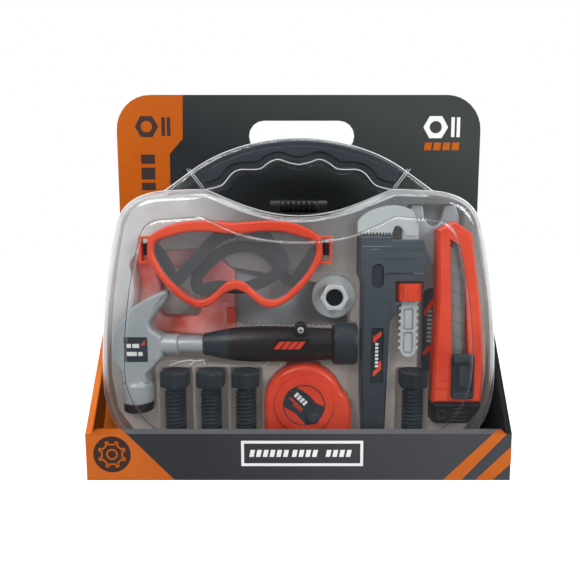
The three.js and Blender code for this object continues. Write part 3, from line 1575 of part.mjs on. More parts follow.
const shells = caseShells();
const group = new THREE.Group();
group.add(
  meshOf('display_carton', displayCarton(), printedCard),
  meshOf('case_back_shell', shells.back, clearPlastic),
  meshOf('case_front_shell', shells.front, clearPlastic),
  meshOf('case_hinge_pin', hingePin(), screwSteel),
  meshOf('handle_grip', handleGrip(), blackPlastic),
  meshOf('latch_bracket', latchBracket(), blackPlastic),
  meshOf('latch_tab', latchTab(), blackPlastic),
  meshOf('latch_pin', latchPin(), screwSteel),
  meshOf('latch_catch', latchCatch(), blackPlastic),
  meshOf('insert_tray', insertTray(), clearPlastic),
  meshOf('goggle_frame', goggleFrame(), orangePlastic),
  meshOf('goggle_lens', goggleLens(), lensPlastic),
  meshOf('goggle_strap', goggleStrap(), strapElastic),
  meshOf('hammer_head', hammerHead(), greyPlastic),
  meshOf('hammer_face_cap', hammerFaceCap(), slatePlastic),
  meshOf('hammer_shaft', hammerShaft(), greyPlastic),
  meshOf('hammer_handle', hammerHandle(), slatePlastic),
  meshOf('hammer_screw', hammerScrew(), screwSteel),
  meshOf('saw_handle', sawHandle(), orangePlastic),
  meshOf('saw_blade', sawBlade(), greyPlastic),
  meshOf('saw_rivet_1', sawRivet(0), screwSteel),
  meshOf('saw_rivet_2', sawRivet(1), screwSteel),
  meshOf('flange_nut', flangeNut(), greyPlastic),
  meshOf('tape_case_front', tapeCaseFront(), orangePlastic),
  meshOf('tape_case_back', tapeCaseBack(), orangePlastic),
  meshOf('tape_spool', tapeSpool(), slatePlastic),
  meshOf('tape_axle', tapeAxle(), greyPlastic),
  meshOf('tape_label', tapeLabel(), labelPaper),
  meshOf('tape_lock_button', tapeLockButton(), slatePlastic),
  meshOf('tape_hook', tapeHook(), screwSteel),
  meshOf('pipe_wrench_body', wrenchBody(), slatePlastic),
  meshOf('pipe_wrench_jaw', wrenchJaw(), greyPlastic),
  meshOf('pipe_wrench_nut', wrenchNut(), orangePlastic),
  meshOf('spanner', spanner(), greyPlastic),
  meshOf('cutter_body', cutterBody(), orangePlastic),
  meshOf('cutter_blade', cutterBlade(), bladePlastic),
  meshOf('cutter_slider', cutterSlider(), slatePlastic),
  meshOf('cutter_end_cap', cutterEndCap(), blackPlastic),
  meshOf('cutter_screw', cutterScrew(), screwSteel),
);
boltX.forEach((x, index) => group.add(meshOf(`bolt_${index + 1}`, toyBolt(x), slatePlastic)));

export default group;
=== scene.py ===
import bpy
import bmesh
from math import cos, pi, radians, sin
from mathutils import Matrix, Vector
from mathutils.geometry import interpolate_bezier


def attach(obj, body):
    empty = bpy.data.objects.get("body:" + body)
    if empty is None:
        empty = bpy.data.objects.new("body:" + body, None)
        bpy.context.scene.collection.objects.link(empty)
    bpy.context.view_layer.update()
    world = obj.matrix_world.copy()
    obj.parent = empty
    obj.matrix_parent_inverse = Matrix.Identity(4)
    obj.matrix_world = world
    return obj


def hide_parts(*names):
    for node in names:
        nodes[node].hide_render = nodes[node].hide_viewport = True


# A toy tool set in a clear carry case on its display carton.
# Shapes are in millimetres until they are finished. The camera, the finishes and the lights are in metres.

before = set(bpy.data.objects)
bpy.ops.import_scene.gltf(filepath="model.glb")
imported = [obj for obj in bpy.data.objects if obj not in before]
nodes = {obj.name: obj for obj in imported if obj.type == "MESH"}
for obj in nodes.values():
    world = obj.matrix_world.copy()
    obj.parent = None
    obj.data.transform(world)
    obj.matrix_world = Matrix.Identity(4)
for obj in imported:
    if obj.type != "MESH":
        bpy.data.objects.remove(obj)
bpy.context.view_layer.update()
scene = bpy.context.scene
millimetre = 0.001
smoothAngle = radians(34)
# Places closer than this are one, in millimetres, and rims sharper than this are rounded, in radians
sameWithin, roundedFrom = 0.001, 0.8

# Camera

view = {"place": (0, -0.435, 0.1973), "tilt": 83.6, "lens": 31.22, "film": 36, "shift": -0.01483}

cameraData = bpy.data.cameras.new("photoCamera")
cameraData.sensor_width = view["film"]
cameraData.lens = view["lens"]
cameraData.shift_x = view["shift"]
camera = bpy.data.objects.new("photoCamera", cameraData)
camera.location = view["place"]
camera.rotation_euler = (radians(view["tilt"]), 0, 0)
scene.collection.objects.link(camera)
scene.camera = camera
scene.view_settings.view_transform = "Standard"
print("camera ready")


# Materials

def newTree(name):
    material = bpy.data.materials.new(name)
    material.use_nodes = True
    tree = material.node_tree
    tree.nodes.clear()
    return material, tree


def addNode(tree, kind, inputs=None, **settings):
    node = tree.nodes.new("ShaderNode" + kind)
    for key, value in settings.items():
        setattr(node, key, value)
    for key, value in (inputs or {}).items():
        if isinstance(value, bpy.types.NodeSocket):
            tree.links.new(value, node.inputs[key])
        else:
            node.inputs[key].default_value = value
    return node


def rgba(code):
    # The linear colour of an sRGB code
    parts = [int(code[place:place + 2], 16) / 255 for place in (0, 2, 4)]
    linear = [part / 12.92 if part <= 0.04045 else ((part + 0.055) / 1.055) ** 2.4 for part in parts]
    return (*linear, 1)


def objectPlace(tree):
    return addNode(tree, "TexCoord").outputs["Object"]


def blendColors(tree, factor, first, second):
    return addNode(tree, "Mix", {"Factor": factor, 6: first, 7: second}, data_type="RGBA").outputs[2]


def mapped(tree, value, span, to=(0, 1)):
    inputs = {"Value": value, "From Min": span[0], "From Max": span[1], "To Min": to[0], "To Max": to[1]}
    return addNode(tree, "MapRange", inputs).outputs["Result"]


def mathOf(tree, operation, *values):
    return addNode(tree, "Math", dict(enumerate(values)), operation=operation).outputs[0]


def reachOf(tree, place, way):
    # How far a place lies along a direction
    return addNode(tree, "VectorMath", {0: place, 1: way}, operation="DOT_PRODUCT").outputs["Value"]


def noiseOf(tree, place, scale, detail=3):
    return addNode(tree, "TexNoise", {"Vector": place, "Scale": scale, "Detail": detail}).outputs["Fac"]


def bumpOf(tree, height, strength, distance):
    inputs = {"Height": height, "Strength": strength, "Distance": distance}
    return addNode(tree, "Bump", inputs).outputs["Normal"]


surface = {"toneSpan": (0.35, 0.65), "driftSpan": (0.38, 0.62), "flowSpan": (0.3, 0.7), "flow": 60,
           "fadeShare": 0.92, "grainDepth": 0.00005, "rippleDepth": 0.0012}


def plastic(name, look):
    # Moulded plastic or printed card: slow colour drift and flow marks, and a fade or grain in some. The
    # card's fade is painted shade.
    look = {"drift": 14, "metal": 0.0, "specular": 0.5, **look}
    material, tree = newTree(name)
    place = objectPlace(tree)
    tone = mapped(tree, noiseOf(tree, place, look["drift"]), surface["toneSpan"])
    # A fade blends the colour along one direction; on the card this is painted shade, darker in the middle
    # and to the left, lighter towards the top right
    if "fade" in look:
        across = mapped(tree, reachOf(tree, place, look["fade"]), look["fadeSpan"])
        tone = addNode(tree, "Mix", {"Factor": surface["fadeShare"], 2: tone, 3: across}).outputs[0]
    marks = noiseOf(tree, place, surface["flow"], 4)
    inputs = {
        "Base Color": blendColors(tree, tone, rgba(look["deep"]), rgba(look["color"])),
        "Roughness": mapped(tree, marks, surface["flowSpan"], look["rough"]),
        "Metallic": look["metal"],
        "Specular IOR Level": look["specular"],
    }
    if "bump" in look:
        grain = noiseOf(tree, place, look["grain"], 2)
        inputs["Normal"] = bumpOf(tree, grain, look["bump"], surface["grainDepth"])
    # A glow is painted light: the surface shines though it is no lamp
    if "glow" in look:
        inputs["Emission Color"] = rgba(look["color"])
        inputs["Emission Strength"] = look["glow"]
    shader = addNode(tree, "BsdfPrincipled", inputs)
    addNode(tree, "OutputMaterial", {"Surface": shader.outputs[0]})
    return material


def clearPlastic(name, look):
    # Clear moulding: it covers little where it faces the eye, and its turned walls go bright and milky
    look = {"ripple": 22, "bump": 0.3, "drift": 9, "uneven": 1, "low": look["color"], **look}
    material, tree = newTree(name)
    place = objectPlace(tree)
    normal = bumpOf(tree, noiseOf(tree, place, look["ripple"], 2), look["bump"], surface["rippleDepth"])
    drift = mapped(tree, noiseOf(tree, place, look["drift"], 2), surface["driftSpan"])
    parts = addNode(tree, "SeparateXYZ", {0: place}).outputs
    # Painted light where the low colour differs from the main one: the colour runs from the low colour at
    # the bottom to the main colour above
    rise = mathOf(tree, "POWER", mapped(tree, parts["Z"], look["rise"]), 2.0)
    color = blendColors(tree, rise, rgba(look["low"]), rgba(look["color"]))
    inputs = {"Metallic": look["metal"], "Roughness": look["rough"], "Normal": normal}
    if "bright" in look:
        # Painted highlight: the rolled border and one shoulder are blended towards the bright colour, and a
        # painted glow in the low colour, stronger low down, stands in for light reaching the lower pockets
        border = mapped(tree, mathOf(tree, "ABSOLUTE", parts["X"]), look["border"], (0, rise))
        shoulder = mapped(tree, reachOf(tree, place, look["shoulderWay"]), look["shoulder"])
        color = blendColors(tree, mathOf(tree, "MAXIMUM", border, shoulder), color, rgba(look["bright"]))
        inputs["Emission Color"] = rgba(look["low"])
        inputs["Emission Strength"] = mapped(tree, rise, (0, 1), look["glow"])
    mirror = addNode(tree, "BsdfPrincipled", {"Base Color": color, **inputs})
    through = addNode(tree, "BsdfTransparent", {"Color": rgba(look["tint"])})
    facing = addNode(tree, "LayerWeight", {"Blend": 0.5, "Normal": normal}).outputs["Facing"]
    evenly = mapped(tree, rise, (0, 1), look["least"])
    least = mathOf(tree, "MULTIPLY", evenly, mapped(tree, drift, (0, 1), (1, look["uneven"])))
    shine = mapped(tree, facing, look["turn"], (least, look["most"]))
    shadowRay = addNode(tree, "LightPath").outputs["Is Shadow Ray"]
    cover = mathOf(tree, "MULTIPLY", shine, mapped(tree, shadowRay, (0, 1), (1, look["shade"])))
    mix = addNode(tree, "MixShader", {0: cover, 1: through.outputs[0], 2: mirror.outputs[0]})
    addNode(tree, "OutputMaterial", {"Surface": mix.outputs[0]})
    return material


# Each finish has its slot in the record, its colour, its deep colour, its roughness and what else it needs

moulded, board, glossy = (0.34, 0.46), (0.45, 0.58), (0.1, 0.2)
plastics = {
    "black": ("black_plastic", "171a1d", "111417", moulded, {"specular": 0.3}),
    "latchBlack": ("black_plastic", "0f1113", "0b0c0e", (0.3, 0.4), {"specular": 0.25}),
    "grip": ("slate_plastic", "241d1f", "1c1719", moulded, {"specular": 0.3}),
    "slate": ("slate_plastic", "424a52", "2c343b", moulded, {
        "specular": 0.35, "fade": (0, 0, 1), "fadeSpan": (0.06, 0.19)}),
    "bolt": ("slate_plastic", "272f37", "20282f", moulded, {"specular": 0.35}),
    "orange": ("orange_plastic", "da492c", "c23318", (0.28, 0.4), {"specular": 0.4}),
    # The saw handle's pale pink is its orange mixed with the whitish veil of the clear tray in front:
    # painted sheen
    "sawOrange": ("orange_plastic", "e3a6a2", "d8564c", (0.3, 0.42), {"specular": 0.4, "drift": 34}),
    "rack": ("grey_plastic", "b6babc", "a8acae", (0.3, 0.42), {"metal": 0.1}),
    "silver": ("grey_plastic", "9da2a5", "90959a", (0.3, 0.42), {"metal": 0.15}),
    "bladeGrey": ("blade_plastic", "77797b", "686a6c", (0.35, 0.5), {}),
    "screwSteel": ("steel", "a0a4a8", "7d8185", (0.2, 0.4), {"metal": 1.0}),
    # Painted highlight lines and a painted dark edge line for the clear shells
    "rimWhite": ("clear_plastic", "e0e3e4", "c8ccce", glossy, {"drift": 40}),
    "rimDark": ("clear_plastic", "3a3c3f", "1f2123", glossy, {"drift": 40}),
    # Painted shade on the card: its fade makes it darker in the middle, where the case shades it, and
    # lighter towards the top right
    "card": ("printed_card", "373b3a", "222528", board, {
        "specular": 0.06, "fade": (0.4, 0, 1), "fadeSpan": (0.235, 0.345)}),
    "cardLip": ("printed_card", "3f4144", "2f3033", board, {
        "specular": 0.06, "fade": (1, 0, 0), "fadeSpan": (-0.08, 0.13)}),
    # Painted light: the lip's top is the lip's card in a lighter colour, as it catches light from above
    "lipTop": ("printed_card", "5a5b5e", "545558", board, {"specular": 0.1}),
    "cardOrange": ("printed_card", "ac5408", "a44c04", (0.42, 0.55), {"specular": 0.1}),
    "lipOrange": ("printed_card", "b45c22", "ac541a", (0.42, 0.55), {"specular": 0.1}),
    # The gusset's orange is lighter than the card's and glows: painted light on its shaded inner face
    "gussetOrangeGlowing": ("printed_card", "d2702c", "c66422", (0.42, 0.55), {"specular": 0.15, "glow": 0.09}),
    "cardBrown": ("printed_card", "3a2723", "33211e", (0.45, 0.6), {"specular": 0.2}),
    "cardWhite": ("printed_card", "d8d8d6", "d0d0ce", (0.45, 0.6), {}),
    "label": ("label_paper", "2f373e", "293037", (0.3, 0.4), {"specular": 0.3}),
    "strap": ("strap_elastic", "2b3036", "23282d", (0.8, 0.9), {"grain": 5200, "bump": 0.5}),
}
clears = {
    "caseClear": ("clear_plastic", {
        "color": "f8fafb", "tint": "fcfdfd", "rough": 0.06, "metal": 0.93, "least": (0.035, 0.035),
        "most": 0.88, "turn": (0.36, 0.76), "rise": (0, 0.3), "shade": 0.1}),
    "lensClear": ("lens_plastic", {
        "color": "f0f3f4", "tint": "f5f4f6", "rough": 0.08, "metal": 0.3, "least": (0.05, 0.05), "most": 0.7,
        "turn": (0.2, 0.8), "rise": (0, 0.3), "ripple": 70, "bump": 0.8, "shade": 0.1}),
    # On the tray the lighter, warmer low colour is painted light and painted reflection of the orange card;
    # the bright border, the bright shoulder and the glow are painted light
    "trayClear": ("tray_plastic", {
        "color": "7e8184", "low": "b8aea8", "bright": "e6e8e9", "border": (0.143, 0.158),
        "shoulder": (0.205, 0.27), "shoulderWay": (-1, 0, 0.8), "glow": (0.16, 0.096), "tint": "e6e8e9",
        "rough": 0.22, "metal": 0.2, "least": (0.6, 0.62), "most": 0.9, "turn": (0.25, 0.6),
        "rise": (0.08, 0.22), "ripple": 45, "bump": 0.5, "drift": 30, "uneven": 0.8, "shade": 0.06}),
}
finishes = {}
for name, (slot, color, deep, rough, more) in plastics.items():
    finishes[name] = plastic(name, {"color": color, "deep": deep, "rough": rough, **more})
for name, (slot, look) in clears.items():
    finishes[name] = clearPlastic(name, look)

# The solids that are seen as they are

nodeLooks = {"case_hinge_pin": "screwSteel", "latch_pin": "screwSteel", "tape_spool": "silver",
             "tape_axle": "silver", "cutter_screw": "black"}
for nodeName, look in nodeLooks.items():
    for slot in nodes[nodeName].material_slots:
        slot.material = finishes[look]
print("materials ready")


# Outlines in the XZ plane

def outline(*rows):
    return [Vector(row) for row in rows]


def curved(rows, width, height, left, bottom, pieces):
    # A row of two is a line's end, four a curve with one handle, and six a curve with two
    points = []
    for row in rows:
        knots = [Vector((left + x * width, bottom + z * height)) for x, z in zip(row[::2], row[1::2])]
        if len(knots) == 1:
            points.append(knots[0])
            continue
        start, end = points[-1], knots[-1]
        if len(knots) == 2:
            knots = [start.lerp(knots[0], 2 / 3), end.lerp(knots[0], 2 / 3), end]
        points += interpolate_bezier(start, knots[0], knots[1], end, pieces + 1)[1:]
    return points


def smoothPath(knots, pieces):
    # A curve through every knot
    points = [knots[0]]
    for at, (start, end) in enumerate(zip(knots, knots[1:])):
        before, after = knots[max(at - 1, 0)], knots[min(at + 2, len(knots) - 1)]
        leave = start + (end - before) / 6
        arrive = end - (after - start) / 6
        points += interpolate_bezier(start, leave, arrive, end, pieces + 1)[1:]
    return points


def splined(rows, width, height, left, bottom, pieces):
    return smoothPath([Vector((left + x * width, bottom + z * height)) for x, z in rows], pieces)


def waysAlong(path):
    last = len(path) - 1
    return [(path[min(at + 1, last)] - path[max(at - 1, 0)]).normalized() for at in range(len(path))]


def mirroredLoop(half, middle):
    other = [Vector((2 * middle - point.x, point.y)) for point in half
             if abs(point.x - middle) > sameWithin]
    return half + other[::-1]


def arcPath(x, z, radius, first, last, steps):
    angles = [first + (last - first) * at / steps for at in range(steps + 1)]
    return [Vector((x + radius * cos(angle), z + radius * sin(angle))) for angle in angles]


def circleLoop(x, z, radius, steps=48):
    return arcPath(x, z, radius, 0, 2 * pi, steps)[:-1]


def hexLoop(x, z, acrossFlats):
    return circleLoop(x, z, acrossFlats / 3 ** 0.5, 6)


def boxLoop(left, right, bottom, top, radius=0.5, steps=4):
    corners = ((right - radius, top - radius), (left + radius, top - radius),
               (left + radius, bottom + radius), (right - radius, bottom + radius))
    points = []
    for turn, (x, z) in enumerate(corners):
        points += arcPath(x, z, radius, pi / 2 * turn, pi / 2 * (turn + 1), steps)
    return points


def slanted(left, right, bottom, top, lean):
    return outline((left, bottom), (right, bottom), (right + lean, top), (left + lean, top))


def offsetLoop(points, distance):
    # Moves an outline outwards, or inwards where the distance is below zero
    area = sum(points[at - 1].cross(point) for at, point in enumerate(points))
    side = 1 if area > 0 else -1
    moved = []
    for at, point in enumerate(points):
        arriving = (point - points[at - 1]).normalized()
        leaving = (points[(at + 1) % len(points)] - point).normalized()
        outward = Vector((arriving.y + leaving.y, -arriving.x - leaving.x)) * side
        moved.append(point + outward * 2 * distance / max(outward.length_squared, 1))
    return moved


def insetLoop(points, distance):
    # An inner outline without the crossings that sharp corners leave
    moved = offsetLoop(points, -distance)
    least = 0.97 * distance
    return [place for place in moved if min((place - point).length for point in points) > least]


# Meshes

def softened(bm, edges, size, steps):
    bmesh.ops.bevel(bm, geom=edges, offset=size, offset_type="OFFSET", segments=steps, profile=0.5,
                    affect="EDGES", material=-1)


def addTo(bm, other):
    data = bpy.data.meshes.new("part")
    other.to_mesh(data)
    other.free()
    bm.from_mesh(data)
    bpy.data.meshes.remove(data)
    return bm


def faceOf(bm, loops, depth, filled):
    edges = []
    for points in loops:
        corners = [bm.verts.new((x, depth, z)) for x, z in points]
        edges += [bm.edges.new((corners[at - 1], corner)) for at, corner in enumerate(corners)]
    if len(loops) == 1 and not filled:
        return [bm.faces.new(corners)]
    filling = bmesh.ops.triangle_fill(bm, use_beauty=True, use_dissolve=False, edges=edges)
    return [item for item in filling["geom"] if isinstance(item, bmesh.types.BMFace)]


def slab(loops, front, back, edge=0.0, steps=3, into=None, frontEdge=None, filled=False):
    # A plate standing in the XZ plane, with both of its rims rounded
    bm = bmesh.new()
    faces = faceOf(bm, loops, front, filled)
    pushed = bmesh.ops.extrude_face_region(bm, geom=faces, use_keep_orig=True)
    moved = [item for item in pushed["geom"] if isinstance(item, bmesh.types.BMVert)]
    bmesh.ops.translate(bm, vec=(0, back - front, 0), verts=moved)
    bmesh.ops.recalc_face_normals(bm, faces=bm.faces)
    for depth, size in ((front, edge if frontEdge is None else frontEdge), (back, edge)):
        if size > 0:
            level = [side for side in bm.edges
                     if all(abs(vert.co.y - depth) < sameWithin for vert in side.verts)]
            softened(bm, [side for side in level if side.calc_face_angle(0) > roundedFrom], size, steps)
    return bm if into is None else addTo(into, bm)


def rodRows(radius, length):
    return [(0, 0), (radius, 0), (radius, length), (0, length)]


def turned(profile, axis, place, steps):
    # A profile of (radius, reach) rows spun about its axis
    bm = bmesh.new()
    corners = [bm.verts.new((radius, 0, reach)) for radius, reach in profile]
    edges = [bm.edges.new(pair) for pair in zip(corners, corners[1:])]
    bmesh.ops.spin(bm, geom=corners + edges, cent=(0, 0, 0), axis=(0, 0, 1), dvec=(0, 0, 0), angle=2 * pi,
                   steps=steps, use_merge=True, use_duplicate=False)
    bmesh.ops.remove_doubles(bm, verts=bm.verts, dist=sameWithin)
    bmesh.ops.recalc_face_normals(bm, faces=bm.faces)
    if axis != "Z":
        turn = Matrix.Rotation(pi / 2, 3, "Y") if axis == "X" else Matrix.Rotation(-pi / 2, 3, "X")
        bmesh.ops.rotate(bm, cent=(0, 0, 0), matrix=turn, verts=bm.verts)
    bmesh.ops.translate(bm, vec=place, verts=bm.verts)
    return bm


def boxMesh(left, right, front, back, bottom, top, edge=0.0):
    bm = bmesh.new()
    bmesh.ops.create_cube(bm, size=1)
    bmesh.ops.scale(bm, vec=(right - left, back - front, top - bottom), verts=bm.verts)
    middle = ((left + right) / 2, (front + back) / 2, (bottom + top) / 2)
    bmesh.ops.translate(bm, vec=middle, verts=bm.verts)
    if edge > 0:
        softened(bm, bm.edges[:], edge, 2)
    return bm


def ringMesh(rings):
    # Walls between neighbouring rings of places, and a cap at each end
    bm = bmesh.new()
    levels = [[bm.verts.new(place) for place in ring] for ring in rings]
    for first, second in zip(levels, levels[1:]):
        for at in range(len(first)):
            bm.faces.new((first[at - 1], first[at], second[at], second[at - 1]))
    bm.faces.new(levels[0])
    bm.faces.new(levels[-1])
    bmesh.ops.recalc_face_normals(bm, faces=bm.faces)
    return bm


def copied(nodeName):
    # The solid's own mesh, with its loose triangles joined and its flats made whole
    bm = bmesh.new()
    bm.from_mesh(nodes[nodeName].data)
    bmesh.ops.scale(bm, vec=(1 / millimetre,) * 3, verts=bm.verts)
    bmesh.ops.remove_doubles(bm, verts=bm.verts, dist=2 * sameWithin)
    bmesh.ops.dissolve_limit(bm, angle_limit=radians(1), use_dissolve_boundaries=False, verts=bm.verts,
                             edges=bm.edges, delimit={"MATERIAL"})
    return bm


def objectOf(bm, name):
    data = bpy.data.meshes.new(name)
    bm.to_mesh(data)
    bm.free()
    form = bpy.data.objects.new(name, data)
    scene.collection.objects.link(form)
    return form


def modified(forms):
    # The first form's mesh with its modifiers applied; the forms go
    shown = bpy.context.evaluated_depsgraph_get()
    whole = bmesh.new()
    whole.from_mesh(bpy.data.meshes.new_from_object(forms[0].evaluated_get(shown)))
    for form in forms:
        bpy.data.objects.remove(form)
    return whole


def combined(first, others, operation):
    forms = [objectOf(bm, "form") for bm in (first, *others)]
    for other in forms[1:]:
        step = forms[0].modifiers.new("step", "BOOLEAN")
        step.operation = operation
        step.object = other
        step.solver = "EXACT"
    return modified(forms)


def united(first, others):
    return combined(first, others, "UNION")


def carved(first, cutters):
    return combined(first, cutters, "DIFFERENCE")


# Finished pieces

def finished(bm, name, body, look, replaced=()):
    bmesh.ops.scale(bm, vec=(millimetre,) * 3, verts=bm.verts)
    piece = objectOf(bm, name)
    piece.data.shade_smooth()
    piece.data.set_sharp_from_angle(angle=smoothAngle)
    looks = [look] if isinstance(look, str) else look
    for each in looks:
        piece.data.materials.append(finishes[each])
    weight = piece.modifiers.new("evenShading", "WEIGHTED_NORMAL")
    weight.keep_sharp = True
    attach(piece, body)
    if replaced:
        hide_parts(*replaced)
    return piece


def rounder(piece, width, steps=2, angle=40):
    # Softens the mould edges; it comes before the shading
    bevel = piece.modifiers.new("softEdges", "BEVEL")
    bevel.width = width * millimetre
    bevel.segments = steps
    bevel.limit_method = "ANGLE"
    bevel.angle_limit = radians(angle)
    bevel.harden_normals = False
    piece.modifiers.move(len(piece.modifiers) - 1, 0)


def softCopy(nodeName, body, look, width, steps=2, cutters=()):
    # A copy of a solid that is true already, with softened edges
    form = carved(copied(nodeName), cutters) if cutters else copied(nodeName)
    rounder(finished(form, nodeName + "_soft", body, look, [nodeName]), width, steps)


def plates(name, body, look, outlines, front, back, edge=0.0):
    # Thin plates of one piece, each with its outline and its holes
    bm = bmesh.new()
    for loops in outlines:
        slab(loops, front, back, edge, 2, into=bm)
    finished(bm, name, body, look)


# Carry case: two clear shells with the handle arch moulded in

case = {"side": 163.5, "base": 5.3, "height": 270.2, "front": -37, "back": 46, "parting": 4.5, "seam": 0.15,
        "step": 3.5, "wall": 1.6, "edge": 11, "panelEdge": 3.3, "archHalf": 18.5, "archEdge": 3.4}
foot = {"x": 62, "length": 20, "inset": 14, "width": 12, "height": 3.5, "sink": 0.4, "edge": 1.2}
hinge = {"length": 90, "knuckles": 5, "radius": 2.6, "bore": 1.5, "z": 4.7, "gap": 0.2, "edge": 0.4}
bodyRows = [(0, 0), (0.43, 0), (0.856, 0, 1, 0.084, 1, 0.269), (1, 0.4245, 0.954, 0.617, 0.902, 0.739),
            (0.8716, 0.8057, 0.777, 0.837, 0.624, 0.839), (0.465, 0.8427),
            (0.367, 0.8242, 0.214, 0.765, 0, 0.765)]
panelRows = [(0, 0.062), (0.43, 0.062), (0.7, 0.062, 0.866, 0.16, 0.869, 0.3),
             (0.869, 0.43, 0.826, 0.59, 0.777, 0.69), (0.758, 0.735, 0.722, 0.754, 0.636, 0.754),
             (0.465, 0.7613), (0.367, 0.735, 0.269, 0.689, 0, 0.689)]
waveRows = [(0, 0.9178), (0.049, 0.9234), (0.104, 0.9334), (0.153, 0.9223), (0.19, 0.9064), (0.2385, 0.9031),
            (0.2936, 0.9031), (0.3364, 0.8908), (0.379, 0.8605), (0.416, 0.8501), (0.465, 0.8438)]
archRows = [(0.49, 0.81), (0.7, 0.81), (0.69, 0.838), (0.545, 0.9), (0.4, 0.965, 0.19, 1, 0, 1)]


def onCase(drawn, rows, pieces):
    return drawn(rows, case["side"], case["height"], 0, case["base"], pieces)


bodyLoop = mirroredLoop(onCase(curved, bodyRows, 14), 0)
panelLoop = mirroredLoop(onCase(curved, panelRows, 12), 0)
waveHalf = onCase(splined, waveRows, 5)
archLoop = mirroredLoop(waveHalf + onCase(curved, [waveRows[-1]] + archRows, 14)[1:], 0)
archFront, archBack = case["parting"] - case["archHalf"], case["parting"] + case["archHalf"]
caseWhole = united(
    slab([bodyLoop], case["front"] + case["step"], case["back"] - case["step"], case["edge"], 7),
    [slab([panelLoop], case["front"], case["back"], case["panelEdge"]),
     slab([archLoop], archFront, archBack, case["archEdge"], 4)])


def halfShell(side):
    # One half of the form, cut on the parting plane, with its wall, its feet and its hinge knuckles
    bm = caseWhole.copy()
    bmesh.ops.bisect_plane(bm, geom=bm.verts[:] + bm.edges[:] + bm.faces[:], dist=0.0001,
                           plane_co=(0, case["parting"] + side * case["seam"], 0), plane_no=(0, side, 0),
                           clear_inner=True)
    form = objectOf(bm, "half")
    wall = form.modifiers.new("wall", "SOLIDIFY")
    wall.thickness = case["wall"]
    wall.offset = -1
    shell = modified([form])
    near = case["parting"] + side * foot["inset"]
    depths = sorted((near, near + side * foot["width"]))
    for hand in (-1, 1):
        left = hand * foot["x"] - foot["length"] / 2
        addTo(shell, boxMesh(left, left + foot["length"], *depths, case["base"] - foot["height"],
                             case["base"] + foot["sink"], foot["edge"]))
    pitch = hinge["length"] / hinge["knuckles"]
    reach = pitch - 2 * hinge["gap"]
    bore, radius, edge = hinge["bore"], hinge["radius"], hinge["edge"]
    barrel = [(bore, 0), (radius - edge, 0), (radius, edge), (radius, reach - edge), (radius - edge, reach),
              (bore, reach), (bore, 0)]
    for knuckle in range(0 if side > 0 else 1, hinge["knuckles"], 2):
        left = -hinge["length"] / 2 + knuckle * pitch + hinge["gap"]
        addTo(shell, turned(barrel, "X", (left, case["parting"], hinge["z"]), 24))
    return shell


finished(halfShell(-1), "clearFrontShell", "lid", "caseClear", ["case_front_shell"])
finished(halfShell(1), "clearBackShell", "case", "caseClear", ["case_back_shell"])
caseWhole.free()

# Thin opaque lines along the rims of the clear shells: white painted highlights on the body, the arch and
# its cut ends, and a painted dark edge line at the panel's step

rim = {"half": 0.3, "panelHalf": 0.26, "cutHalf": 0.22, "thick": 0.45, "edge": 0.12, "inset": 0.4,
       "bodyFront": -25.4, "archFront": -12.5, "panelFront": -35.4, "waveLift": 0.4, "outerLift": -0.5,
       "cutFoot": (78.2, 234.8), "cutHead": (89.8, 250.2), "cutPitch": 2.2}


def paintedLine(loops, front, into=None, filled=False):
    return slab(loops, front, front + rim["thick"], rim["edge"], 2, into=into, filled=filled)


def paintedLineLoop(loop, front, half):
    return paintedLine([offsetLoop(loop, side * half - rim["inset"]) for side in (1, -1)], front)


def paintedLinePath(bm, path, half):
    sides = [Vector((-way.y, way.x)) * half for way in waysAlong(path)]
    loop = [point + side for point, side in zip(path, sides)]
    other = [point - side for point, side in zip(path, sides)]
    paintedLine([loop + other[::-1]], rim["archFront"], into=bm, filled=True)


finished(paintedLineLoop(bodyLoop, rim["bodyFront"], rim["half"]), "bodyHighlightLine", "lid", "rimWhite")
archPaintedLines = bmesh.new()
outerHalf = onCase(curved, archRows[2:], 14)[::-1]
for half, lift in ((waveHalf, rim["waveLift"]), (outerHalf, rim["outerLift"])):
    across = [Vector((-point.x, point.y)) for point in half[:0:-1]] + half
    paintedLinePath(archPaintedLines, [point + Vector((0, lift)) for point in across], rim["half"])
for hand in (-1, 1):
    for shift in (0, rim["cutPitch"]):
        paintedLinePath(archPaintedLines, [Vector((hand * (x + shift), z)) for x, z in (rim["cutFoot"], rim["cutHead"])],
                 rim["cutHalf"])
finished(archPaintedLines, "archHighlightLines", "lid", "rimWhite")
finished(paintedLineLoop(panelLoop, rim["panelFront"], rim["panelHalf"]), "panelDarkEdgeLine", "lid", "rimDark")
print("case shells ready")

# Handle filler: scalloped like the arch, and cut off by a slant at each end

grip = {"inset": 1.9, "edge": 1.5, "ridge": 2.4, "ridgeInset": 6.3, "ridgeEdge": 1.2,
        "cut": ((0.418, 0.8), (0.604, 0.952))}


def clippedLoop(points, start, end):
    # Keeps the part of an outline that lies to the left of a line
    kept = []
    for at, point in enumerate(points):
        before = points[at - 1]
        sides = [(end - start).cross(place - start) for place in (before, point)]
        if (sides[0] > 0) != (sides[1] > 0):
            kept.append(before.lerp(point, sides[0] / (sides[0] - sides[1])))
        if sides[1] > 0:
            kept.append(point)
    return kept


def fillerForm():
    loop = archLoop
    for hand in (-1, 1):
        ends = [Vector((hand * x * case["side"], case["base"] + z * case["height"])) for x, z in grip["cut"]]
        loop = clippedLoop(loop, *ends[::hand])
    inset, ridge = grip["inset"], grip["ridge"]
    front, back = archFront + inset, archBack - inset
    bm = slab([insetLoop(loop, grip["ridgeInset"])], front, back, grip["ridgeEdge"], 4, filled=True)
    body = slab([offsetLoop(loop, -inset)], front + ridge, back - ridge, grip["edge"], 4, filled=True)
    return addTo(bm, body)


finished(fillerForm(), "handleFiller", "case", "bolt", ["handle_grip"])

# Latch

softCopy("latch_bracket", "lid", "latchBlack", 0.7, 3)
softCopy("latch_catch", "case", "latchBlack", 0.4, 3)
softCopy("latch_tab", "latch", "latchBlack", 0.35)
print("handle and latch ready")

# Goggles

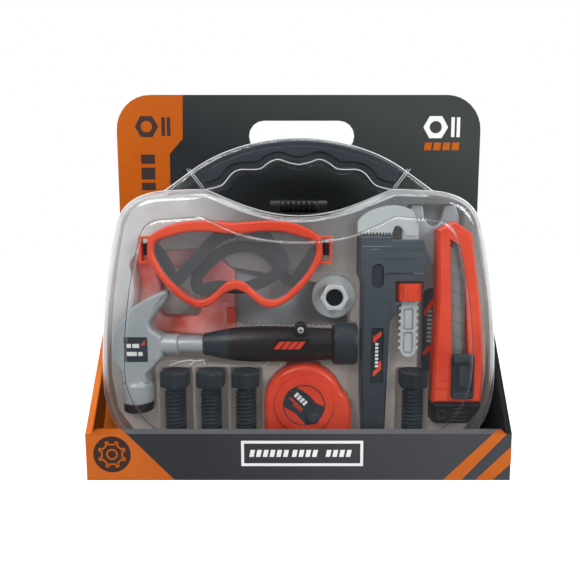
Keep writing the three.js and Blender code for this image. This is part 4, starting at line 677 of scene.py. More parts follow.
goggles = {"width": 141.4, "height": 70.7, "x": -51.4, "z": 137, "front": -30.5, "rim": 6, "depth": 28.5,
           "edge": 2.2, "skirtInset": 1.2, "skirtWall": 2, "skirtEdge": 0.6, "fit": 0.3, "lensSetback": 2,
           "lensThickness": 1.5, "lensEdge": 0.3, "overlap": 2}
lug = {"width": 8, "height": 23, "bar": 2.2, "depth": 6, "rise": 47, "edge": 0.8, "turn": 2, "overlap": 1.6}
goggleOuterRows = [(0, 0.976), (0.21, 0.993), (0.424, 1), (0.65, 0.976), (0.835, 0.912), (0.972, 0.813),
                   (1, 0.68), (0.983, 0.55), (0.85, 0.325), (0.665, 0.125), (0.51, 0.026), (0.396, 0),
                   (0.27, 0.042), (0.134, 0.163), (0, 0.216)]
goggleInnerRows = [(0, 0.85), (0.14, 0.857), (0.31, 0.877), (0.54, 0.87), (0.76, 0.814), (0.9, 0.76),
                   (0.92, 0.62), (0.82, 0.41), (0.65, 0.22), (0.537, 0.127), (0.41, 0.092), (0.283, 0.141),
                   (0.113, 0.29), (0, 0.322)]
goggleHalf = goggles["width"] / 2


def goggleLoop(rows):
    half = splined(rows, goggleHalf, goggles["height"], goggles["x"], goggles["z"], 7)
    return mirroredLoop(half, goggles["x"])


def goggleFrame():
    outer = goggleLoop(goggleOuterRows)
    front, bar = goggles["front"], lug["bar"]
    rimBack = front + goggles["rim"]
    insets = (goggles["skirtInset"], goggles["skirtInset"] + goggles["skirtWall"])
    bm = slab([outer, goggleLoop(goggleInnerRows)], front, rimBack, goggles["edge"], 4)
    slab([offsetLoop(outer, -inset) for inset in insets], rimBack - goggles["overlap"],
         front + goggles["depth"], goggles["skirtEdge"], 2, into=bm)
    bottom = goggles["z"] + lug["rise"] - lug["height"] / 2
    top = bottom + lug["height"]
    for hand in (-1, 1):
        reaches = (-insets[1], 0, lug["width"])
        root, near, end = [goggles["x"] + hand * (goggleHalf + reach) for reach in reaches]
        loops = [boxLoop(*sorted((root, end)), bottom, top, lug["turn"]),
                 boxLoop(*sorted((near, end - hand * bar)), bottom + bar, top - bar)]
        slab(loops, rimBack - lug["overlap"], rimBack + lug["depth"], lug["edge"], 3, into=bm)
    return bm


finished(goggleFrame(), "goggleFrameSoft", "case", "orange", ["goggle_frame"])
lensFront = goggles["front"] + goggles["lensSetback"]
lens = slab([offsetLoop(goggleLoop(goggleInnerRows), -goggles["fit"])], lensFront,
            lensFront + goggles["lensThickness"], goggles["lensEdge"], 2)
finished(lens, "goggleLensClear", "case", "lensClear", ["goggle_lens"])

# Goggle strap: its rows are shares of the goggles' half width and height, and of the travel backwards

strap = {"width": 10, "thickness": 1.2, "travel": 11.6, "front": -17.3, "pieces": 4}
strapRows = [(-1.1, 0.665, 0), (-0.94, 0.66, 0), (-0.8, 0.42, 0.1), (-0.771, 0.268, 0.15),
             (-0.522, 0.497, 0.2), (-0.366, 0.679, 0.25), (-0.182, 0.829, 0.3), (0.1, 0.9, 0.4),
             (0.3, 0.86, 0.45), (0.376, 0.754, 0.5), (0.511, 0.603, 0.5), (0.526, 0.467, 0.5),
             (0.419, 0.345, 0.55), (0.143, 0.222, 0.6), (-0.055, 0.207, 0.65), (-0.253, 0.222, 0.7),
             (-0.468, 0.184, 0.75), (-0.495, 0.345, 0.85), (-0.308, 0.543, 1), (-0.124, 0.664, 1),
             (0.088, 0.701, 1), (0.269, 0.664, 1), (0.39, 0.573, 1), (0.495, 0.436, 1), (0.632, 0.268, 0.8),
             (0.8, 0.46, 0.3), (0.94, 0.66, 0), (1.1, 0.665, 0)]
strapKnots = [Vector((goggles["x"] + x * goggleHalf, strap["front"] + depth * strap["travel"],
                      goggles["z"] + z * goggles["height"])) for x, z, depth in strapRows]
strapRoute = smoothPath(strapKnots, strap["pieces"])


def strapMesh():
    deep = Vector((0, strap["thickness"] / 2, 0))
    rings = []
    for point, way in zip(strapRoute, waysAlong(strapRoute)):
        across = Vector((-way.z, 0, way.x)).normalized() * strap["width"] / 2
        corners = (-across - deep, across - deep, across + deep, deep - across)
        rings.append([point + corner for corner in corners])
    return ringMesh(rings)


strapPiece = finished(strapMesh(), "goggleStrapElastic", "case", "strap", ["goggle_strap"])
print("goggles ready")

# Hammer

hammer = {"x": -137, "y": -16, "z": 104.2, "width": 47.6, "height": 79, "left": -154.6, "bottom": 72,
          "thickness": 18, "edge": 3.4, "pollHeight": 17.5, "capHeight": 7, "fit": 0.3, "collarFrom": -126,
          "shaftFrom": -125.2, "shaftTo": -60.6, "shaftRadius": 6.8}
claw = {"rootZ": 128.9, "rootHalf": 0.3, "mouthZ": 156, "mouthHalf": 4.5, "left": -160, "right": -100}
headRows = [(0.13, 0), (0.126, 0.134), (0, 0.216), (0.002, 0.532), (0.05, 0.604), (0.23, 0.739, 0.32, 0.801),
            (0.6, 0.925, 0.84, 0.985), (1.03, 1.03, 0.99, 0.93), (0.8, 0.781), (0.66, 0.69, 0.655, 0.638),
            (0.66, 0.59, 0.7, 0.568), (0.862, 0.506), (0.862, 0.289), (0.56, 0.096), (0.594, 0)]
pollRows = [(0, -17.5), (10.6, -17.5), (12.2, -17), (13.2, -15.4), (13.2, -2.6), (12.6, -1.2), (11.4, 0),
            (10.8, 1.6), (10, 5), (9, 15.8), (0, 15.8)]
collarRows = [(0, 0), (8.5, 0), (8.5, 19.9), (8.9, 20.9), (8.9, 24.1), (8.3, 24.9), (0, 24.9)]
capRows = [(0, 0), (10.9, 0), (12, 0.5), (12.4, 1.6), (12.4, 5.8), (12, 7), (0, 7)]


def hammerHead():
    # The cheek with its poll and its collar, and the slit between the claws
    loop = curved(headRows, hammer["width"], hammer["height"], hammer["left"], hammer["bottom"], 10)
    middle, half = hammer["y"], hammer["thickness"] / 2
    cheek = slab([loop], middle - half, middle + half, hammer["edge"], 5)
    poll = turned(pollRows, "Z", (hammer["x"], middle, hammer["bottom"] - hammer["fit"]), 64)
    collar = turned(collarRows, "X", (hammer["collarFrom"], middle, hammer["z"]), 64)
    wedge = [(middle - claw["rootHalf"], claw["rootZ"]), (middle + claw["rootHalf"], claw["rootZ"]),
             (middle + claw["mouthHalf"], claw["mouthZ"]), (middle - claw["mouthHalf"], claw["mouthZ"])]
    slit = ringMesh([[(x, y, z) for y, z in wedge] for x in (claw["left"], claw["right"])])
    return carved(united(cheek, [poll, collar]), [slit])


rounder(finished(hammerHead(), "hammerHeadCast", "case", "silver", ["hammer_head"]), 0.5, 2, 50)
capBottom = hammer["bottom"] - 2 * hammer["fit"] - hammer["pollHeight"] - hammer["capHeight"]
finished(turned(capRows, "Z", (hammer["x"], hammer["y"], capBottom), 64), "hammerFaceRubber", "case",
         "black", ["hammer_face_cap"])
shaftRows = rodRows(hammer["shaftRadius"], hammer["shaftTo"] - hammer["shaftFrom"])
finished(turned(shaftRows, "X", (hammer["shaftFrom"], hammer["y"], hammer["z"]), 48), "hammerShaftRound",
         "case", "silver", ["hammer_shaft"])

# Hammer handle: its rows are shares of its radius and length

handle = {"from": -80.3, "length": 129.3, "radius": 17.8, "flat": 0.8, "darkFrom": -59, "darkTo": 31}
boss = {"x": 1.7, "z": 118.2, "front": -27.5, "rise": 1.6, "screwRise": 0.4, "cross": (1.5, 0.35),
        "crossRise": 0.5}
heelRows = [(0, 0), (0.5, 0), (0.55, 0.012), (0.55, 0.035)]
waistRows = [(0.58, 0.045), (0.72, 0.14), (0.82, 0.25), (0.86, 0.4), (0.82, 0.62), (0.76, 0.8),
             (0.75, 0.835)]
buttRows = [(0.96, 0.85), (1, 0.88), (1, 0.975), (0.94, 1), (0, 1)]
bossRows = [(0, 0), (3.1, 0), (3.1, -1.4), (3.5, -1.6), (4.7, -1.6), (5.4, -1), (5.4, 12), (0, 12)]
screwRows = [(0, 0), (1.5, 0), (2.2, 0.3), (2.7, 0.9), (2.7, 4), (0, 4)]


def hammerHandle():
    size = (handle["radius"], handle["length"], 0, 0)
    rows = curved(heelRows, *size, 1) + splined(waistRows, *size, 7) + curved(buttRows, *size, 1)
    bm = turned(rows, "X", (handle["from"], 0, hammer["z"]), 72)
    bmesh.ops.scale(bm, vec=(1, handle["flat"], 1), verts=bm.verts)
    bmesh.ops.translate(bm, vec=(0, hammer["y"], 0), verts=bm.verts)
    addTo(bm, turned(bossRows, "Y", (boss["x"], boss["front"] + boss["rise"], boss["z"]), 40))
    for face in bm.faces:
        if not handle["darkFrom"] < face.calc_center_median().x < handle["darkTo"]:
            face.material_index = 1
    return bm


handlePiece = finished(hammerHandle(), "hammerGripMoulded", "case", ["grip", "bolt"], ["hammer_handle"])
rounder(handlePiece, 0.6, 3, 50)
finished(turned(screwRows, "Y", (boss["x"], boss["front"] - boss["screwRise"], boss["z"]), 32),
         "hammerScrewHead", "case", "rack", ["hammer_screw"])
crossBars = [[boxLoop(boss["x"] - across, boss["x"] + across, boss["z"] - up, boss["z"] + up, 0.2, 2)]
             for across, up in (boss["cross"], boss["cross"][::-1])]
plates("hammerScrewCross", "case", "black", crossBars, boss["front"] - boss["crossRise"], boss["front"])

# A plate on the handle with a row of leaning bars

emblem = {"plate": (-26.5, 1.5, 100.4, 111, 8.5), "front": -28.3, "back": -26, "edge": 0.3, "left": -20.6,
          "bars": 4, "bar": 4.4, "pitch": 5.7, "lean": 5, "low": 102.4, "high": 108.9, "proud": 0.1}
plates("hammerEmblemPlate", "case", "grip", [[slanted(*emblem["plate"])]], emblem["front"], emblem["back"],
       emblem["edge"])
emblemLefts = [emblem["left"] + emblem["pitch"] * at for at in range(emblem["bars"])]
plates("hammerEmblemBars", "case", "orange",
       [[slanted(left, left + emblem["bar"], emblem["low"], emblem["high"], emblem["lean"])]
        for left in emblemLefts], emblem["front"] - emblem["proud"], emblem["front"] + emblem["proud"])
print("hammer ready")

# Bolts

bolt = {"places": (-105.5, -75, -45.2, 97.6), "y": -16, "top": 81.6, "flats": 23.2, "head": 13.8,
        "edge": 1.6, "neck": 7.4, "neckLength": 2, "neckSink": 0.5, "root": 7.5, "crest": 9.1, "flank": 4.4,
        "swell": 1.6, "pitch": 3.3, "shank": 47.5, "tip": 2, "turns": 36, "stepsPerPitch": 8}


def threadRadius(reach, length, side):
    ends = min(reach / bolt["tip"], (length - reach) / bolt["tip"], 1)
    share = (reach / bolt["pitch"] + side / bolt["turns"]) % 1
    height = min(1, max(0, bolt["swell"] - abs(share - 0.5) * bolt["flank"])) * ends
    return bolt["root"] + (bolt["crest"] - bolt["root"]) * height


def boltThread(x, start):
    length = bolt["shank"] - bolt["neckLength"]
    steps = round(length / bolt["pitch"] * bolt["stepsPerPitch"])
    rings = []
    for step in range(steps + 1):
        reach = length * step / steps
        ring = []
        for side in range(bolt["turns"]):
            radius = threadRadius(reach, length, side)
            angle = 2 * pi * side / bolt["turns"]
            ring.append((x + radius * cos(angle), bolt["y"] + radius * sin(angle), start - reach))
        rings.append(ring)
    return ringMesh(rings)


def toyBolt(x):
    y, top, sink = bolt["y"], bolt["top"], bolt["neckSink"]
    corner, headFoot = bolt["flats"] / 3 ** 0.5, top - bolt["head"]
    angles = [pi / 3 * at for at in range(6)]
    bm = ringMesh([[(x + corner * sin(angle), y + corner * cos(angle), z) for angle in angles]
                   for z in (headFoot, top)])
    softened(bm, bm.edges[:], bolt["edge"], 4)
    threadTop = headFoot - bolt["neckLength"]
    neckRows = rodRows(bolt["neck"], bolt["neckLength"] + 2 * sink)
    addTo(bm, turned(neckRows, "Z", (x, y, threadTop - sink), 36))
    return addTo(bm, boltThread(x, threadTop))


for at, x in enumerate(bolt["places"]):
    finished(toyBolt(x), "toyBolt" + str(at + 1), "case", "bolt", ["bolt_" + str(at + 1)])

# Flange nut

nut = {"x": 29.9, "z": 144.1, "front": -20, "flats": 21.4, "hexDepth": 9.5, "overlap": 1, "bore": 7.1,
       "edge": 1.3, "cupInset": 2.5}
flangeRows = [(7.1, 0), (17.2, 0), (18, 0.3), (18.8, 1.1), (18.8, 3.4), (17.6, 4.5), (7.1, 4.5), (7.1, 0)]
cupRows = [(0, 5), (6.1, 5), (6.1, 0), (7.4, 0), (7.4, 5.6), (0, 5.6), (0, 5)]
nutBack = nut["front"] + nut["hexDepth"]
nutForm = slab([hexLoop(nut["x"], nut["z"], nut["flats"]), circleLoop(nut["x"], nut["z"], nut["bore"])],
               nut["front"], nutBack + nut["overlap"], nut["edge"], 4)
addTo(nutForm, turned(flangeRows, "Y", (nut["x"], nutBack, nut["z"]), 72))
finished(nutForm, "flangeNutPlated", "case", "rack", ["flange_nut"])
# A black cup in the bore: painted shade that darkens the hole
finished(turned(cupRows, "Y", (nut["x"], nut["front"] + nut["cupInset"], nut["z"]), 48), "flangeNutBoreShade",
         "case", "black")

# Tape measure

tape = {"x": 4.5, "z": 54.6, "radius": 33.6, "right": 40, "drop": 36.5, "shoulder": pi / 9, "front": -27,
        "depth": 29, "edge": 5, "seam": 0.15, "cut": 1.5, "button": (12.1, -30.1, 43.8)}
ringRows = [(0, 2), (0, -0.7), (17.6, -0.7), (17.6, -1.6), (18, -1.8), (23.2, -1.8), (24.5, -1.3), (25, 0),
            (25, 2), (0, 2)]
buttonRows = [(0, 0), (4, 0), (4.7, 0.4), (5, 1.1), (5, 4.2), (0, 4.2)]


def onTape(rows):
    return [Vector((tape["x"] + x, tape["z"] + z)) for x, z in rows]


def tapeLoop():
    # Round on top, with a straight back and a flat foot, whose two corners are cut
    radius, corner, cut, right = tape["radius"], tape["edge"], tape["cut"], tape["right"]
    drop = -tape["drop"]
    arc = arcPath(0, 0, radius, tape["shoulder"], pi, 48)
    start, lean = Vector((right, -radius / 3)), Vector((right, radius / 6))
    back = interpolate_bezier(start, start.lerp(lean, 2 / 3), arc[0].lerp(lean, 2 / 3), arc[0], 9)
    return onTape([(-radius + corner, drop), (right - corner, drop), (right - cut, drop + cut),
                   (right, drop + corner), *back, *arc[1:], (-radius, drop + corner),
                   (-radius + cut, drop + cut)])


tapeMiddle = tape["front"] + tape["depth"] / 2
tapeFrontForm = slab([tapeLoop()], tape["front"], tapeMiddle - tape["seam"], 0, 5, frontEdge=tape["edge"])
addTo(tapeFrontForm, turned(ringRows, "Y", (tape["x"], tape["front"], tape["z"]), 72))
finished(tapeFrontForm, "tapeCaseFront", "case", "orange", ["tape_case_front"])
tapeBackForm = slab([tapeLoop()], tapeMiddle + tape["seam"], tape["front"] + tape["depth"], tape["edge"], 5,
                    frontEdge=0)
finished(tapeBackForm, "tapeCaseBack", "case", "orange", ["tape_case_back"])
finished(turned(buttonRows, "Y", tape["button"], 40), "tapeLockButton", "tape_lock", "slate",
         ["tape_lock_button"])

# Tape label: a slate band between two orange fields, with bars of its own

label = {"front": -28, "thick": 0.4, "radius": 17.4, "fieldRadius": 16.6, "layer": 0.1, "lean": -0.78}
finished(slab([circleLoop(tape["x"], tape["z"], label["radius"], 72)], label["front"],
              label["front"] + label["thick"]), "tapeLabelBand", "case", "label", ["tape_label"])


def labelLayer(name, look, outlines):
    plates(name, "case", look, outlines, label["front"] - label["layer"], label["front"] + label["layer"])


def tiltedBars(rows, width, height):
    along = Vector((cos(label["lean"]), sin(label["lean"])))
    across = Vector((-along.y, along.x))
    bars = []
    for start, count, pitch in rows:
        for at in range(count):
            low = onTape([start])[0] + along * pitch * at
            high = low + across * height
            bars.append([[low, low + along * width, high + along * width, high]])
    return bars


for name, span, chord in (("tapeLabelUpper", (-0.06, 1.95), [(-1, 12.6), (4.4, 8.6), (9.9, 2.3)]),
                          ("tapeLabelLower", (3.23, 4.8), [(-1.9, -13.1), (-7.3, -6.8)])):
    labelLayer(name, "orange", [[onTape(arcPath(0, 0, label["fieldRadius"], *span, 16) + chord)]])
labelLayer("tapeLabelBarsWhite", "cardWhite", tiltedBars([((-8.6, 8.2), 4, 3.3)], 2.3, 4.4))
labelLayer("tapeLabelBarsOrange", "orange",
           tiltedBars([((-12.4, 6), 7, 2.2), ((-9.2, 0.4), 4, 2.2)], 1.5, 1.9))
print("bolts, nut and tape ready")

# Pieces whose solids are true already

# Each cut of the wrench's slot has its left, right and back
wrenchSlot = {"front": -28.5, "bottom": 163.4, "top": 166.6,
              "cuts": ((57, 71, -26.99), (59.4, 69.8, -25.51))}
softCopy("saw_blade", "case", "silver", 0.2)
softCopy("pipe_wrench_body", "case", "slate", 0.5, 2, [
    boxMesh(left, right, wrenchSlot["front"], back, wrenchSlot["bottom"], wrenchSlot["top"])
    for left, right, back in wrenchSlot["cuts"]])
softRows = (("pipe_wrench_jaw", "wrench_jaw", "rack", 0.3), ("pipe_wrench_nut", "wrench_nut", "orange", 0.2),
            ("cutter_body", "case", "orange", 0.5), ("cutter_blade", "cutter_slide", "bladeGrey", 0.12),
            ("cutter_slider", "cutter_slide", "bolt", 0.4), ("cutter_end_cap", "case", "black", 0.5),
            ("tape_hook", "case", "screwSteel", 0.2))
for row in softRows:
    softCopy(*row)

# Hand saw

saw = {"x": -143, "z": 107, "width": 88, "height": 78, "front": 0, "thickness": 13, "edge": 3.4,
       "end": (-62.4, -54.6, 119.5, 133.4), "endProud": 1, "endBack": 2, "endEdge": 0.5, "rivetX": -65,
       "rivetProud": 0.7, "rivetRises": (137, 153)}
sawRows = [(1, 0.1), (1, 0.74), (0.8, 0.98), (0.5, 1, 0.2, 0.97), (0.02, 0.95, 0.02, 0.8),
           (0.1, 0.55, 0, 0.25), (0, 0.1, 0.12, 0.08), (0.5, 0, 0.84, 0.02)]
sawHoleRows = [(0.3, 0.24), (0.6, 0.24), (0.66, 0.3, 0.64, 0.45), (0.62, 0.7, 0.5, 0.76),
               (0.3, 0.8, 0.24, 0.7), (0.32, 0.5, 0.24, 0.32), (0.24, 0.24, 0.3, 0.24)]
rivetRows = [(0, 0), (2.2, 0), (3, 0.4), (3.4, 1), (3.4, 3), (0, 3)]
sawLoops = [curved(rows, saw["width"], saw["height"], saw["x"], saw["z"], 10)
            for rows in (sawRows, sawHoleRows)]
sawLoops[1].pop()
# The handle and its rivet heads carry the painted sheen of the tray in front
finished(slab(sawLoops, saw["front"], saw["front"] + saw["thickness"], saw["edge"], 4), "sawHandleMoulded",
         "case", "sawOrange", ["saw_handle"])
finished(slab([boxLoop(*saw["end"], 1)], saw["front"] - saw["endProud"], saw["front"] + saw["endBack"],
              saw["endEdge"]), "sawHandleEnd", "case", "orange")
for at, z in enumerate(saw["rivetRises"]):
    finished(turned(rivetRows, "Y", (saw["rivetX"], saw["front"] - saw["rivetProud"], z), 32),
             "sawRivetHead" + str(at + 1), "case", "sawOrange", ["saw_rivet_" + str(at + 1)])

# Second wrench

spanner = {"x": 113.6, "bottom": 76, "length": 145, "width": 46, "front": -7.4, "thickness": 7, "edge": 1.6,
           "hole": 4, "holeRise": 62}
spannerRows = [(0.34, 0), (0.5, -0.012, 0.66, 0), (0.66, 0.66), (0.7, 0.76, 0.94, 0.82),
               (1, 0.88, 0.98, 0.93), (0.9, 1), (0.7, 1), (0.66, 0.93), (0.6, 0.88, 0.5, 0.88),
               (0.4, 0.88, 0.34, 0.93), (0.3, 1), (0.1, 1), (0.02, 0.93), (0, 0.88, 0.06, 0.82),
               (0.3, 0.76, 0.34, 0.66)]
spannerLoops = [curved(spannerRows, spanner["width"], spanner["length"], spanner["x"] - spanner["width"] / 2,
                       spanner["bottom"], 9),
                circleLoop(spanner["x"], spanner["bottom"] + spanner["holeRise"], spanner["hole"])]
finished(slab(spannerLoops, spanner["front"], spanner["front"] + spanner["thickness"], spanner["edge"]),
         "spannerFlat", "case", "silver", ["spanner"])


# Details: thin plates, lines and inlays, given by the faces that they lie on. The wrench's light lines are
# painted highlights, and its dark inlay around the slot is painted shade.

face = {"wrench": -27, "recess": -25.5, "rack": -21, "cutter": -26, "blade": -20.8, "slider": -29.9,
        "spanner": spanner["front"]}


def frameLoops(left, right, bottom, top, width, radius):
    return [boxLoop(left, right, bottom, top, radius),
            boxLoop(left + width, right - width, bottom + width, top - width, max(radius - width, 0.2))]


def detail(name, look, outlines, on, proud, sink, edge=0.0, body="case"):
    plates(name, body, look, outlines, face[on] - proud, face[on] + sink, edge)


def tickBoxes(left, right, bottom, height, pitch, count):
    return [[boxLoop(left, right, bottom + pitch * at, bottom + pitch * at + height, 0.1, 1)]
            for at in range(count)]


wrenchFrames = [frameLoops(58.9, 70.3, 152.4, 173.6, 0.7, 5.6), frameLoops(59.3, 70.7, 73.3, 120.7, 0.7, 1),
                frameLoops(59.2, 76, 126, 143.6, 0.8, 2)]
# Light lines along the wrench's ridges: painted highlights
wrenchHighlightLines = [[boxLoop(left, right, z - 0.35, z + 0.35, 0.3)]
               for left, right, z in ((51.5, 76, 186.9), (57.8, 93, 184.5), (70.3, 102.8, 165.2))]
wrenchChevrons = [
    [outline((61.7, 107.7), (61.7, 112), (68.7, 117.5), (68.7, 113.3), (64, 109.4), (64, 107.7))],
    [outline((62, 78.4), (62, 82.8), (66.3, 86.4), (66.3, 90.4), (68.8, 92.4), (68.8, 84.8))]]
detail("wrenchFrames", "slate", wrenchFrames, "wrench", 0.3, 1, 0.2)
# Dark floors in the two recesses: around the slot it is painted shade, under the chevrons and ticks it is
# the ground of the print
detail("wrenchSlotShadeAndPrintGround", "bolt",
       [[boxLoop(59.7, 69.5, 153.3, 172.7, 4.8)], [boxLoop(60.1, 69.9, 74.1, 119.9)]], "recess", 0.1, 0.2)
detail("wrenchHighlightLines", "bladeGrey", wrenchHighlightLines, "wrench", 0.5, 0.5)
detail("wrenchChevrons", "orange", wrenchChevrons, "recess", 0.3, 0)
detail("wrenchTicks", "cardWhite", tickBoxes(63.6, 66.1, 86.6, 1.9, 3.1, 7), "recess", 0.3, 0)
rackFrames = [frameLoops(87.7, 95.7, bottom, bottom + 17.7, 0.6, 1.5) for bottom in (98, 117.7)]
detail("rackFrames", "bladeGrey", rackFrames, "rack", 0.2, 0.4, body="wrench_jaw")

spannerChevrons = [[outline((107.6, 126), (107.6, 131), (116, 144), (118.6, 144), (118.6, 141))],
                   [outline((107.6, 92), (107.6, 95), (112, 101), (116, 101), (116, 98.6))]]
detail("spannerGrip", "slate", [[boxLoop(106.6, 120.6, 78, 151, 6.6, 8)]], "spanner", 0.5, 0.5, 0.3)
detail("spannerBars", "silver", tickBoxes(110.6, 114.6, 104, 2.2, 3.7, 8), "spanner", 0.7, 0)
detail("spannerChevrons", "orange", spannerChevrons, "spanner", 0.7, 0)

# The cutter's window has teeth along one side, and its blade has a grey bed and snap lines

window = {"foot": (127.2, 90), "head": (122.6, 190), "teeth": 27, "tooth": 1, "bedFront": -19.4,
          "bedBack": -18.9}
snap = {"left": 125, "right": 138.2, "first": 100, "pitch": 12, "count": 8, "slope": 2.6, "width": 0.4}
teethPlaces = [Vector(window["foot"]).lerp(Vector(window["head"]), at / (window["teeth"] - 1))
               for at in range(window["teeth"])]
detail("cutterTeeth", "orange", [[circleLoop(x, z, window["tooth"], 10)] for x, z in teethPlaces], "cutter",
       -0.3, 4)
plates("cutterBladeBed", "case", "bladeGrey",
       [[outline((127.5, 87), (122.8, 192.4), (130.6, 187.9), (136.4, 163), (138.3, 135), (141.4, 87))]],
       window["bedFront"], window["bedBack"])
snapLines = []
for at in range(snap["count"]):
    high = snap["first"] + snap["pitch"] * at + snap["slope"]
    low = high - 2 * snap["slope"]
    lower = [(snap["left"], high), (snap["right"], low)]
    upper = [(x, z + snap["width"]) for x, z in reversed(lower)]
    snapLines.append([outline(*lower, *upper)])
detail("bladeSnapLines", "slate", snapLines, "blade", 0.08, 0.2, body="cutter_slide")
pads = bmesh.new()
for box, radius, proud, sink, edge in (((127.7, 144.7, 91.9, 98), 0.8, 0.4, 1, 0.5),
                                       ((127.7, 144.7, 61, 65.4), 0.8, 0.4, 1, 0.5),
                                       ((132.6, 139.8, 70, 88), 1.5, 0.1, 1.5, 0.7)):
    slab([boxLoop(*box, radius)], face["slider"] - proud, face["slider"] + sink, edge, into=pads)
finished(pads, "sliderPads", "cutter_slide", "slate")
detail("cutterScrewRing", "slate", [[circleLoop(120.2, 46.2, 3.7, 32), circleLoop(120.2, 46.2, 2.9, 32)]],
       "cutter", 0.3, 1, 0.2)
print("saw, wrenches and cutter ready")

# Insert tray, with thin white bars on it that are painted glints

glint = {"height": 0.9, "lean": 0.25, "front": -14.4, "back": -12.6, "edge": 0.15}
glintRows = (((-110.7, 84.4), (-101, 88), (-92.8, 89.3), (-89, 88.4)),
              ((-93.4, 85), (-87.7, 88.6), (-81.7, 89.4), (-80.2, 86)),
              ((-31, 83), (-22.6, 90.2)), ((-17.6, 90), (-15.4, 85.2)))
glintBars = []
for row in glintRows:
    raised = [(x + glint["lean"], z + glint["height"]) for x, z in reversed(row)]
    glintBars.append([outline(*row, *raised)])
rounder(finished(copied("insert_tray"), "insertTrayFormed", "case", "trayClear", ["insert_tray"]), 0.7, 3)
plates("trayPaintedGlints", "case", "cardWhite", glintBars, glint["front"], glint["back"], glint["edge"])
print("tray ready")

# Display carton

carton = {"side": 170, "front": -50, "lipTop": 38.8, "lipFoot": 0.6, "cardFront": 48.5, "cardTop": 325.2,
          "corner": 32, "gussetWithin": -165.1, "lipWithin": -38.9, "lipTopFrom": 37.8, "soft": 0.4}
layer = {"sink": 0.1, "thin": 0.08, "raised": 0.16, "onRaised": 0.24, "label": 0.2, "onLabel": 0.32}


def cartonBoard():
    # The left gusset gets a lighter orange with a painted glow, the lip a colour of its own, and the lip's
    # top a lighter colour that is painted light from above
    bm = copied("display_carton")
    for side in bm.faces:
        middle = side.calc_center_median()
        upward = side.normal.z > 0.9
        if middle.x < carton["gussetWithin"]:
            side.material_index = 1
        elif middle.y < carton["lipWithin"]:
            side.material_index = 3 if upward and middle.z > carton["lipTopFrom"] else 2
    return bm


cartonLooks = ["card", "gussetOrangeGlowing", "cardLip", "lipTop"]
rounder(finished(cartonBoard(), "foldedCarton", "carton", cartonLooks, ["display_carton"]), carton["soft"])


# Printing: each field is a thin layer on the board, with plain shapes and leaning bars as its motifs

def printed(name, look, outlines, front, depth="thin", body="carton"):
    plates(name, body, look, outlines, front - layer[depth], front + layer["sink"])


def barRow(places, bottom, top, lean=0.0):
    return [[slanted(left, right, bottom, top, lean)] for left, right in places]


def rowPlaces(first, width, pitch, count):
    return [(first + pitch * at, first + pitch * at + width) for at in range(count)]


edgeX, topZ, bend = carton["side"], carton["cardTop"], carton["corner"]
cornerArc = arcPath(bend - edgeX, topZ - bend, bend, pi, pi / 2, 16)
bandLoop = cornerArc + outline((-107.2, topZ), (-108.2, 285.3), (-120.7, 271.5), (-121.7, 4), (-edgeX, 4))
column = [(-148, -135)]
for name, look, shapes, depth in (
        ("cardBandOrange", "cardOrange", [[offsetLoop(bandLoop, -0.3)]], "thin"),
        ("cardColumnBars", "cardBrown", barRow(column, 262.5, 271), "raised"),
        ("cardColumnBar0", "cardBrown", barRow(column, 248, 259), "raised"),
        ("cardColumnBar1", "cardBrown", barRow(column, 238, 245), "raised"),
        ("cardColumnBar2", "cardBrown", barRow(column, 224, 235), "raised"),
        ("cardRingBrown", "cardBrown", [[hexLoop(-142, 296.5, 19), circleLoop(-142, 296.5, 5.2)]], "raised"),
        ("cardTicksBrown", "cardBrown", barRow(rowPlaces(-128, 3.4, 5, 2), 288, 305), "raised"),
        ("cardRingWhite", "cardWhite", [[hexLoop(128, 296, 20), circleLoop(128, 296, 5.6)]], "thin"),
        ("cardTicksWhite", "cardWhite", barRow(rowPlaces(142.5, 3.1, 5.1, 2), 287, 305), "thin"),
        ("cardBarsOrange", "cardOrange", barRow(rowPlaces(117.4, 6.6, 8.6, 4), 275, 282, 1), "thin")):
    printed(name, look, shapes, carton["cardFront"], depth)

# Front lip: orange corner, badge, white frame and two stripes

lipFront, lipTop, lipFoot = carton["front"], carton["lipTop"], carton["lipFoot"]
badge = {"place": (-149.1, 21.9), "radius": 15, "teeth": 8, "start": 0.25, "rim": 1.3, "ring": (4.6, 3.3)}
toothRows = ((0, 9), (0.1, 11.6), (0.4, 11.6), (0.5, 9))
for name, rows in (
        ("lipCornerOrange", ((-edgeX, lipFoot), (-99.8, lipFoot), (-137, lipTop), (-edgeX, lipTop))),
        ("lipStripe0", ((154.6, lipTop), (165.8, lipTop), (130.8, lipFoot), (116.2, lipFoot))),
        ("lipStripe1", ((edgeX, 28.6), (edgeX, 14.1), (155.9, lipFoot), (142.2, lipFoot)))):
    printed(name, "lipOrange", [[outline(*rows)]], lipFront)
for name, rows in (
        ("lipTopOrange", ((-edgeX, -49.8), (-137, -49.8), (-145.5, -39.2), (-edgeX, -39.2))),
        ("lipTopStripe", ((154.6, -49.8), (165.8, -49.8), (edgeX, -43), (edgeX, -39.2), (164, -39.2)))):
    levels = [[(x, y, z) for x, y in rows] for z in (lipTop - layer["sink"], lipTop + layer["thin"])]
    finished(ringMesh(levels), name, "carton", "lipOrange")
gear = []
for tooth in range(badge["teeth"]):
    for turn, reach in toothRows:
        angle = 2 * pi * (tooth + turn + badge["start"]) / badge["teeth"]
        gear.append(Vector(badge["place"]) + Vector((cos(angle), sin(angle))) * reach)
ring = [circleLoop(*badge["place"], radius) for radius in badge["ring"]]
frameSides = [boxLoop(-45.9, 51.6, 12.1, 33.2, 0.2, 1), boxLoop(-43.6, 49.3, 14.4, 30.9, 0.2, 1)]
lipBars = []
for first, count in ((-39.5, 6), (-5.5, 4), (21.5, 4)):
    lipBars += barRow(rowPlaces(first, 3.6, 5.4, count), 19.8, 25.6, 1.2)
